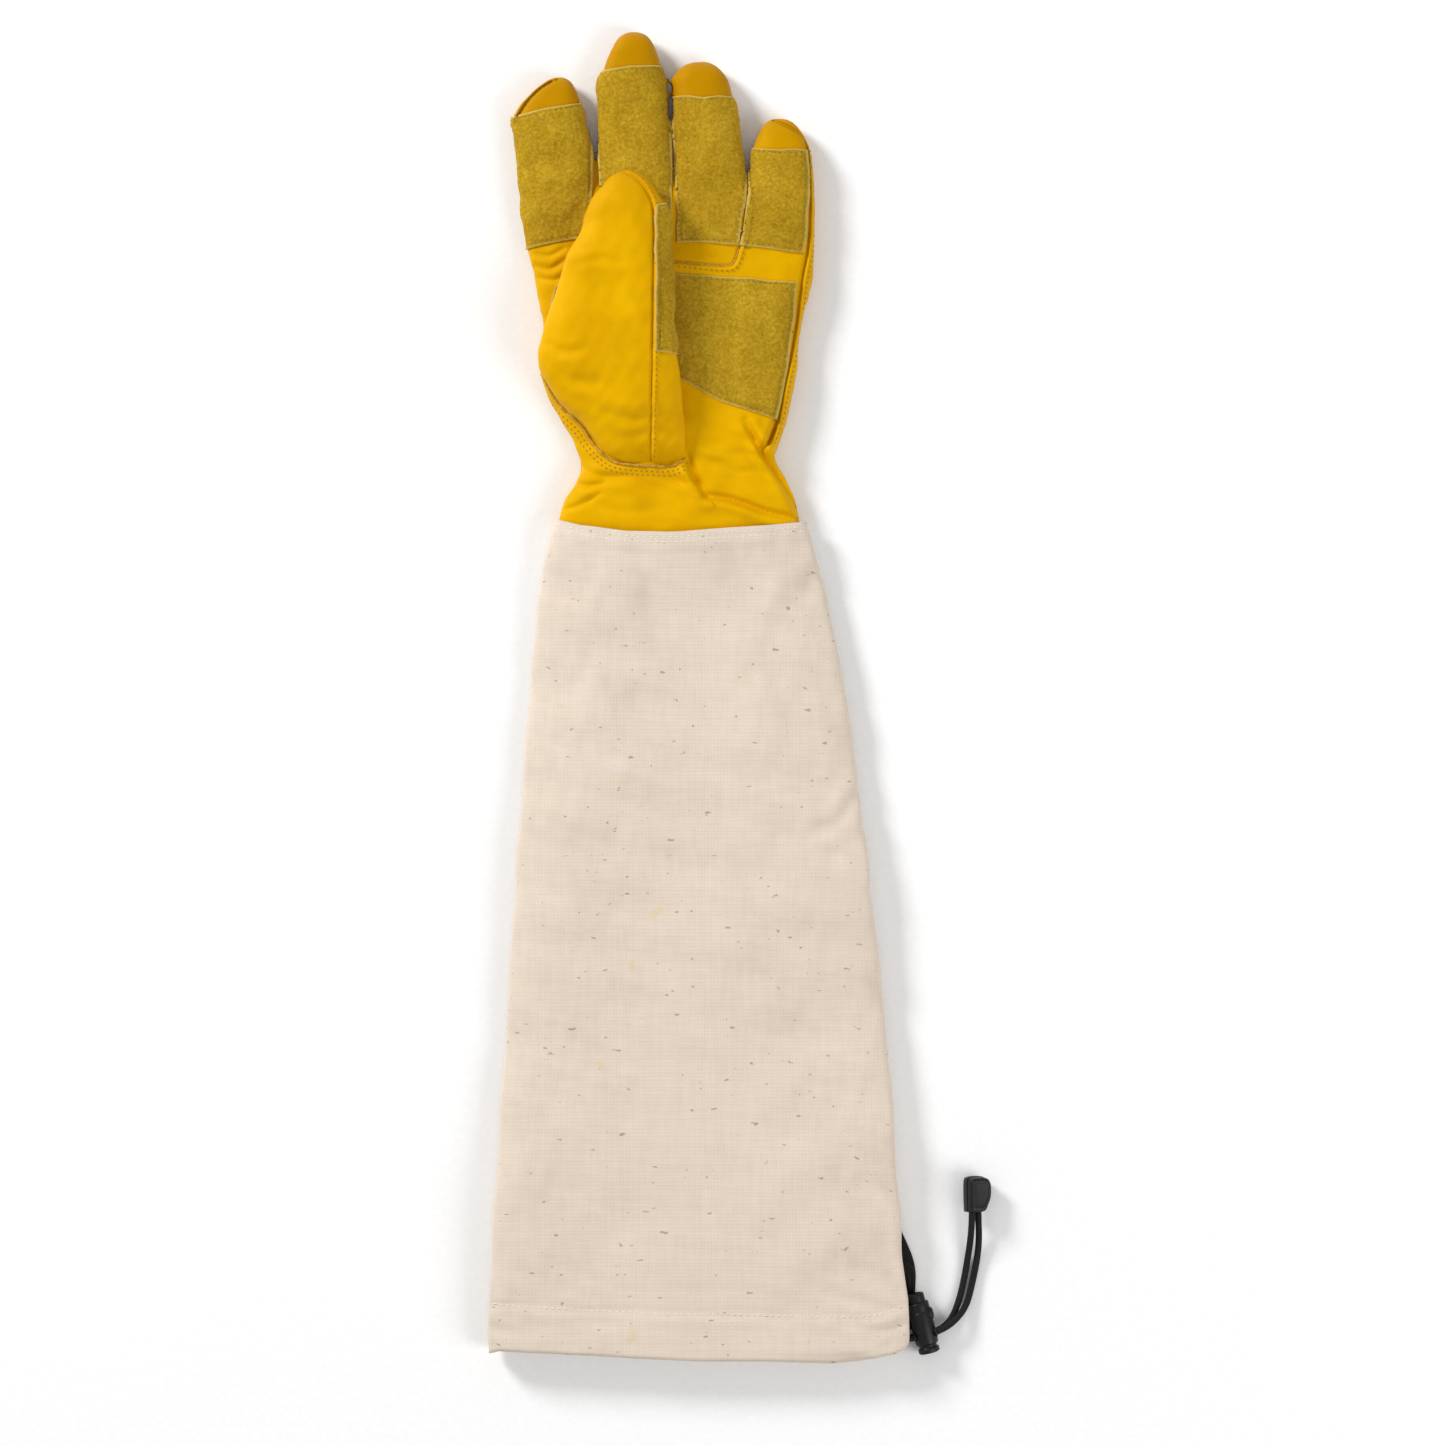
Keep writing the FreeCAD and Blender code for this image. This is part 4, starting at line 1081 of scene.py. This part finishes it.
def welt(name, line, tree, width, height, seed):
    """The raw edge of a seam standing up from the leather, uneven where it was cut."""
    line = curve_through(line, 1.0)
    verts = []
    around = 12
    rough = waves(line, 7.0, seed)
    rougher = waves(line, 2.5, seed + 1)
    way = np.gradient(line, axis=0)
    way /= np.linalg.norm(way, axis=1)[:, None]
    sideways = np.stack([-way[:, 1], way[:, 0]], axis=1)
    count = len(line)
    for i, (x, y) in enumerate(line):
        hit = drop_on(tree, x, y)
        ground = hit[0] if hit else 9.0
        taper = math.sin(math.pi * (i + 0.6) / (count + 0.2)) ** 0.25
        tall = height * taper * (1 + 0.16 * rough[i] + 0.10 * rougher[i])
        wide = width * taper * (1 + 0.12 * rougher[i])
        for a in np.linspace(0, 2 * math.pi, around, endpoint=False):
            u = wide / 2 * math.cos(a)
            verts.append((x + sideways[i, 0] * u, y + sideways[i, 1] * u,
                          ground - 0.8 + (tall + 0.8) * (0.5 + 0.5 * math.sin(a))))
    faces = loft_faces(count, around)
    faces.append(tuple(range(around)))
    faces.append(tuple(reversed(range((count - 1) * around, count * around))))
    return add_object(name, verts, faces, RAW_EDGE)


def raw_edge_material():
    """Cut edge of the leather: brown, fibrous and matt."""
    mat, shader, add, link = material("leather_cut_edge")
    where = add("ShaderNodeTexCoord").outputs["Object"]
    fibre = noise_node(add, where, 520.0, 4.0, 0.7)
    link(ramp(add, fibre, [(0.3, (0.32, 0.165, 0.008)), (0.55, (0.52, 0.29, 0.02)),
                           (0.75, (0.68, 0.43, 0.06))]),
         shader.inputs["Base Color"])
    link(bumped(add, fibre, 0.6, 0.0005), shader.inputs["Normal"])
    shader.inputs["Roughness"].default_value = 0.85
    return mat


RAW_EDGE = raw_edge_material()
root_welt = welt("root_seam_edge", ROOT_SEAM, skin_tree, 1.7, 1.3, 31)
front_welt = welt("front_seam_edge", FRONT_SEAM[2:], skin_tree, 1.3, 0.7, 33)
for obj in (root_welt, front_welt):
    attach(obj, "hand")
bpy.data.objects.remove(skin)


# ---------------------------------------------------------------- sleeve
SLEEVE_EDGES = [
    (-346, -110.8, 110.8), (-319, -110.6, 110.4), (-293, -109.4, 107.6), (-266, -107.6, 105.5),
    (-213, -104.4, 102.3),
    (-160, -100.7, 97.5), (-107, -97.5, 91.7), (-54, -93.8, 85.3), (-1, -89.6, 78.4), (52, -84.8, 67.8),
    (73, -81.0, 61.8),
    (92, -75.4, 56.4),
]
TOP_EDGE = [(-80, 95.0), (-74.2, 93.8), (-62, 90.8), (-37.6, 87.6), (-13.3, 87.0), (11.1, 89.0),
            (35, 90.6), (54.6, 92.4),
            (60, 93)]
HEM_EDGE = [(-112, -345.8), (-104.9, -344.0), (-61.5, -346.0), (-6.4, -349.2), (39.2, -349.4),
            (70, -350.6), (84.8, -349.3),
            (102.8, -345.8), (108.0, -343.4), (112, -338.0)]
HEM_STITCH = [(-108.7, -319.0), (-75, -321.4), (-39.2, -323.3), (11.7, -324.4), (48.2, -325.4),
              (90.1, -325.2), (108.7, -320.0)]
TOP_Y, HEM_Y = 90.0, -347.0
AROUND = 320


def canvas_ring(y, inward):
    left, right = edges_at(SLEEVE_EDGES, y)
    left += inward
    right -= inward
    high = np.interp(y, [-347, -310, -180, 60, 92], [18.8, 18.8, 17.4, 17.8, 18.8]) - inward
    low = 0.3 + inward
    square = np.interp(y, [-347, -310, -150, 92], [6.5, 6.0, 4.2, 3.6])
    x, z = cross_section(left, right, low, high, AROUND, square, 4.5)
    top = np.array(TOP_EDGE)
    hem = np.array(HEM_EDGE)
    near_top = smooth_step(y, TOP_Y - 45, TOP_Y)
    near_hem = 1 - smooth_step(y, HEM_Y, HEM_Y + 45)
    upper = smooth_step(z, 3.0, 12.0)
    bend = near_top * (np.interp(x, top[:, 0], top[:, 1]) - TOP_Y) * (0.4 + 0.6 * upper)
    bend += near_hem * (np.interp(x, hem[:, 0], hem[:, 1]) - HEM_Y)
    return np.stack([x, y + bend, z], axis=1)


SLEEVE_FOLDS = [  # points, depth, width
    ([(109.0, -318.0), (94.0, -306.0), (70.0, -297.0)], 0.9, 4.0),
    ([(108.0, -324.0), (88.0, -318.0), (62.0, -314.0)], 0.8, 3.2),
    ([(110.0, -330.0), (92.0, -334.0), (66.0, -333.0)], 1.0, 2.6),
    ([(109.0, -338.0), (94.0, -343.0), (76.0, -344.0)], 0.9, 2.4),
    ([(107.0, -313.0), (100.0, -292.0), (95.0, -270.0)], 0.9, 3.6),
    ([(106.0, -270.0), (97.0, -259.0), (80.0, -254.0)], 0.8, 3.4),
    ([(84.0, -52.0), (72.0, -66.0), (52.0, -74.0)], 0.9, 3.6),
    ([(89.0, -92.0), (76.0, -84.0), (56.0, -83.0)], 0.8, 3.4),
    ([(-82.0, 64.0), (-66.0, 46.0), (-52.0, 12.0)], 0.8, 5.0),
    ([(60.0, 62.0), (46.0, 44.0), (38.0, 14.0)], 0.8, 5.0),
    ([(-30.0, 78.0), (-24.0, 52.0), (-26.0, 18.0)], 0.6, 6.0),
    ([(-109.0, -332.0), (-94.0, -334.0), (-78.0, -332.0)], 0.6, 2.6),
]


def shape_canvas(points):
    """Soft undulations, gathers and the seam lines of the canvas, the same for each of its layers."""
    normal_up = smooth_step(points[:, 2], 5.0, 13.0)
    plan = points[:, :2]
    move = 1.15 * waves(plan * (1.0, 0.6), 92.0, 61) + 0.42 * waves(plan, 33.0, 62) + 0.10 * waves(plan,
                                                                                                   11.0, 63)
    for line, depth, width in SLEEVE_FOLDS:
        d, side, along, length = distance_to(points, curve_through(line, 3.0))
        ends = np.sin(math.pi * np.clip(0.5 + 0.5 * along / length, 0, 1)) ** 0.7
        move += ends * (-depth * bell(d, width) + 0.6 * depth * bell(d - 2.0 * width, 1.2 * width))
    d, side, along, length = distance_to(points, curve_through(HEM_STITCH, 3.0))
    move += -0.75 * bell(d, 1.1) + 0.5 * bell(d - 4.0, 3.0) * (side < 0)
    casing = (side < 0) * smooth_step(d, 0, 6)
    move += 0.45 * casing * waves(plan * (1.0, 0.35), 15.0, 64) * smooth_step(plan[:, 0], 10, 100)
    edge = plan[:, 1] - np.interp(plan[:, 0], *np.array(TOP_EDGE).T)
    move += 0.55 * smooth_step(edge, -9.5, -8.5) - 0.5 * bell(edge + 2.4, 0.8) - 0.4 * bell(edge + 5.0, 0.8)
    over_cord = 1 - smooth_step(np.abs(points[:, 1] + 338.8), 5, 10)
    move = move * (1 - over_cord) + np.clip(move, -0.25, 1.2) * over_cord
    points[:, 2] += normal_up * move
    sideways = 0.28 * waves(points[:, 1:2] * (1.0,), 46.0, 66)
    middle = 0.5 * (np.interp(plan[:, 1], *np.array(SLEEVE_EDGES)[::, [0, 1]].T) + np.interp(plan[:, 1],
        *np.array(SLEEVE_EDGES)[::, [0, 2]].T))
    points[:, 0] += sideways * np.sign(points[:, 0] - middle) * smooth_step(np.abs(points[:, 0] - middle),
                                                                            55, 90)
    return points


def canvas_tube(name, low, high, inward, thickness, step=2.2):
    ys = np.linspace(low, high, int((high - low) / step) + 1)
    depth = inward if callable(inward) else lambda y: inward
    points = shape_canvas(np.vstack([canvas_ring(y, depth(y)) for y in ys]))
    obj = add_object(name, points, loft_faces(len(ys), AROUND), CANVAS)
    obj.data.flip_normals()
    return solidify(obj, thickness)


canvas = canvas_tube("canvas_sleeve", HEM_Y, TOP_Y, 0.0, 1.0)
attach(canvas, "sleeve")
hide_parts("sleeve_back", "sleeve_front")
hem = canvas_tube("hem_casing", HEM_Y + 0.8, HEM_Y + 26.0,
                  lambda y: 1.2 + 4.4 * smooth_step(y, HEM_Y,
                      HEM_Y + 5) * (1 - smooth_step(y, HEM_Y + 18, HEM_Y + 26)), 0.8,
                  step=1.0)
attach(hem, "sleeve")
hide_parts("hem_back", "hem_front")
canvas_tree = tree_of(canvas)
hem_row = stitches("hem_stitches", [curve_through(HEM_STITCH)], canvas_tree, PALE_THREAD, length=2.6,
                   gap=0.8, radius=0.30,
                   lift=0.0, seed=12)
top_line = curve_through(TOP_EDGE[1:-1])
top_rows = stitches("top_edge_stitches", [offset_line(top_line, -off) for off in (2.4, 5.0)], canvas_tree,
                    PALE_THREAD,
                    length=2.4, gap=0.9, radius=0.26, lift=-0.05, seed=13)
for obj in (hem_row, top_rows):
    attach(obj, "sleeve")


# ---------------------------------------------------------------- tether tape
TAPE_LINE = [(102.0, -276.5), (106.6, -287.0), (110.6, -297.5), (112.0, -306.0), (112.0, -318.0),
             (112.2, -327.0),
             (112.2, -334.6)]
TAPE_WIDTHS = [4.2, 4.6, 5.2, 5.4, 4.6, 4.2, 4.4]
TAPE_HEIGHTS = [2.2, 2.0, 1.9, 1.9, 0.9, 0.8, 0.8]


def tape():
    """Narrow webbing with raised ribs along it, slightly cupped."""
    line = curve_through(TAPE_LINE, 0.7)
    share = np.linspace(0, len(TAPE_LINE) - 1, len(line))
    width = np.interp(share, range(len(TAPE_LINE)), TAPE_WIDTHS)
    height = np.interp(share, range(len(TAPE_LINE)), TAPE_HEIGHTS)
    way = np.gradient(line, axis=0)
    way /= np.linalg.norm(way, axis=1)[:, None]
    across = np.linspace(-1, 1, 29)
    verts = []
    for (x, y), (u, v), w, h in zip(line, way, width, height):
        for t in across:
            rib = 0.09 * math.cos(t * math.pi * 7)
            verts.append((x - v * t * w / 2, y + u * t * w / 2, h + rib - 0.3 * t * t))
    faces = loft_faces(len(line), len(across), closed=False)
    obj = add_object("tether_webbing", verts, faces, WEBBING)
    return solidify(obj, 0.8, 0.0)


webbing = tape()
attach(webbing, "sleeve")
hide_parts("tether_tape")

# ---------------------------------------------------------------- cord lock and cord end
LOCK_CENTRE = np.array([119.6, -336.5, 6.1])
LOCK_TURN = math.radians(14.3)
LOCK_AXIS = np.array([math.sin(LOCK_TURN), -math.cos(LOCK_TURN), 0.0])
LOCK_SIDE = np.array([math.cos(LOCK_TURN), math.sin(LOCK_TURN), 0.0])
LOCK_UP = np.array([0.0, 0.0, 1.0])
# Distance along the axis from the cords and radius, from the bore's bottom out and round to the foot
BARREL_PROFILE = [
    (-6.0, 0.0), (-6.0, 4.8), (-17.0, 4.8), (-17.4, 5.1), (-17.4, 5.5), (-17.0, 5.85), (-16.2, 6.0),
    (-13.4, 6.0),
    (-13.0, 5.65), (-12.2, 5.65), (-11.8, 6.0), (-4.6, 6.05), (4.2, 6.05), (5.0, 5.8), (5.6, 4.9),
    (6.6, 4.7), (7.0, 5.2),
    (7.4, 5.6), (9.0, 5.65), (9.6, 5.4), (9.9, 4.8), (9.9, 0.0),
]
PLUNGER_PROFILE = [
    (-21.9, 0.0), (-21.9, 2.8), (-22.3, 3.3), (-22.4, 3.7), (-22.2, 4.2), (-21.7, 4.55), (-20.8, 4.6),
    (-9.4, 4.6), (-9.2, 0.0),
]
CORD_END_ENTRY = np.array([145.8, -271.4, 8.5])
CORD_END_TURN = math.radians(30.0)
CORD_END_OUTLINE = [(-4.6, 0.0), (-1.0, -0.4), (4.2, 0.0), (6.4, 3.6), (8.1, 8.0), (8.2, 13.5),
                    (7.4, 16.4), (5.3, 18.2),
                    (0.6, 18.7), (-3.6, 18.3), (-4.8, 16.6), (-4.9, 8.0)]


def turned(name, profile, around=56):
    """A turned piece of the lock, from (distance along the axis, radius) pairs."""
    verts = []
    for v, r in profile:
        for a in np.linspace(0, 2 * math.pi, around, endpoint=False):
            place = LOCK_CENTRE + LOCK_AXIS * v + r * (LOCK_SIDE * math.cos(a) + LOCK_UP * math.sin(a))
            verts.append(place)
    return add_object(name, verts, loft_faces(len(profile), around), PLASTIC)


def lug(name, v, side, sizes, power=3.2, around=24):
    """A rounded block moulded on the lock's side."""
    verts = []
    for p in np.linspace(-math.pi / 2, math.pi / 2, around // 2):
        for q in np.linspace(0, 2 * math.pi, around, endpoint=False):
            parts = np.array([math.cos(p) * math.cos(q), math.cos(p) * math.sin(q), math.sin(p)])
            parts = np.sign(parts) * np.abs(parts) ** (2 / power) * np.array(sizes)
            verts.append(LOCK_CENTRE + LOCK_SIDE * (side + parts[0]) + LOCK_AXIS * (v + parts[1])
                         + LOCK_UP * parts[2])
    return add_object(name, verts, loft_faces(around // 2, around), PLASTIC)


def collar(name, side, half_height, half_width, thickness, around=40):
    """The raised rim round the hole where the two strands come out."""
    verts = []
    ring = 10
    for a in np.linspace(0, 2 * math.pi, around, endpoint=False):
        centre = (LOCK_CENTRE + LOCK_SIDE * side + LOCK_AXIS * half_width * math.cos(a)
                  + LOCK_UP * half_height * math.sin(a))
        out = LOCK_AXIS * math.cos(a) + LOCK_UP * math.sin(a)
        for b in np.linspace(0, 2 * math.pi, ring, endpoint=False):
            verts.append(centre + thickness * (out * math.cos(b) + LOCK_SIDE * math.sin(b)))
    faces = [((i * ring + j), (i * ring + (j + 1) % ring), ((i + 1) % around * ring + (j + 1) % ring),
              ((i + 1) % around * ring + j)) for i in range(around) for j in range(ring)]
    return add_object(name, verts, faces, PLASTIC)


def hard_shading(obj):
    """Rounds the edges a little and shades the whole piece smooth."""
    modifier = obj.modifiers.new("rounded", "BEVEL")
    modifier.width = 0.35 * MM
    modifier.segments = 3
    modifier.limit_method = "ANGLE"
    modifier.angle_limit = math.radians(28)
    obj = apply_modifiers(obj)
    obj.data.shade_smooth()
    return obj


def cord_end_half(name, low, high, outer):
    """One half shell of the cord end: a plate with a domed outer face and a shallow panel in it."""
    outline = np.array(curve_through([*CORD_END_OUTLINE, CORD_END_OUTLINE[0]], 0.8))[:-1]
    middle = outline.mean(axis=0)
    height = high - low
    levels = [(0.0, 1.0), (0.08, 1.0), (0.6, 1.0), (0.8, 0.975), (0.93, 0.93), (0.985, 0.87), (1.0, 0.80),
              (0.985, 0.70),
              (0.93, 0.66), (0.92, 0.3), (0.92, 0.02)]
    if low > -0.1:
        step = levels
    else:
        step = [(1 - t, shrink) for t, shrink in levels]
    verts = []
    c, si = math.cos(CORD_END_TURN), math.sin(CORD_END_TURN)
    for t, shrink in step:
        for u, v in middle + (outline - middle) * shrink * outer:
            w = low + height * t
            verts.append(CORD_END_ENTRY + np.array([u * c + w * si, v, -u * si + w * c]))
    around = len(outline)
    faces = loft_faces(len(step), around)
    obj = add_object(name, verts, faces, PLASTIC)
    bm = bmesh.new()
    bm.from_mesh(obj.data)
    bmesh.ops.holes_fill(bm, edges=[e for e in bm.edges if e.is_boundary])
    bmesh.ops.recalc_face_normals(bm, faces=bm.faces)
    bm.to_mesh(obj.data)
    bm.free()
    return hard_shading(obj)


barrel = joined("lock_body", [
    hard_shading(turned("lock_turned", BARREL_PROFILE)), lug("lock_shoulder", -10.4, 4.2, (3.0, 3.4, 3.8)),
    collar("rim_left", -5.7, 4.0, 2.3, 0.7), collar("rim_right", 5.7, 4.0, 2.3, 0.7)], PLASTIC)
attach(barrel, "sleeve")
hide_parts("lock_barrel")
button = hard_shading(turned("lock_button_cap", PLUNGER_PROFILE))
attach(button, "lock_button")
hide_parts("lock_plunger")
end_back = cord_end_half("cord_end_back_shell", -4.6, -0.15, 1.0)
end_front = cord_end_half("cord_end_front_shell", 0.15, 4.6, 0.96)
for obj, node in ((end_back, "cord_end_base"), (end_front, "cord_end_cover")):
    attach(obj, "sleeve")
    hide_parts(node)

# ---------------------------------------------------------------- finishes of hard and hidden parts
FINISHES = {
    "lock_spring": STEEL, "hem_drawcord": CORD, "wrist_elastic": ELASTIC,
}
for name, mat in FINISHES.items():
    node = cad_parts[name]
    node.data.materials.clear()
    node.data.materials.append(mat)

# ---------------------------------------------------------------- floor and light
bpy.ops.mesh.primitive_plane_add(size=8.0, location=(0, 0, 0))
floor = bpy.context.object
floor.name = "table_top"
floor_mat, floor_shader, add, link = material("paper")
paper = noise_node(add, add("ShaderNodeTexCoord").outputs["Object"], 300.0)
link(ramp(add, paper, [(0.3, (0.90, 0.90, 0.90)), (0.7, (0.93, 0.93, 0.93))]),
     floor_shader.inputs["Base Color"])
floor_shader.inputs["Roughness"].default_value = 0.9
floor.data.materials.append(floor_mat)


def area_light(name, place, size, power):
    light = bpy.data.objects.new(name, bpy.data.lights.new(name, "AREA"))
    light.data.shape = "DISK"
    light.data.size = size
    light.data.energy = power
    light.location = place
    light.rotation_euler = (Vector((0, 0, 0)) - Vector(place)).to_track_quat("-Z", "Y").to_euler()
    bpy.context.scene.collection.objects.link(light)
    return light


area_light("key", (-1.9, 1.6, 1.35), 0.8, 67.0)
area_light("fill", (1.8, -1.0, 1.6), 1.6, 26.0)

world = bpy.data.worlds.new("studio")
world.use_nodes = True
world.node_tree.nodes["Background"].inputs["Color"].default_value = (1.0, 1.0, 1.0, 1.0)
world.node_tree.nodes["Background"].inputs["Strength"].default_value = 0.52
bpy.context.scene.world = world
bpy.context.scene.view_settings.view_transform = "Standard"
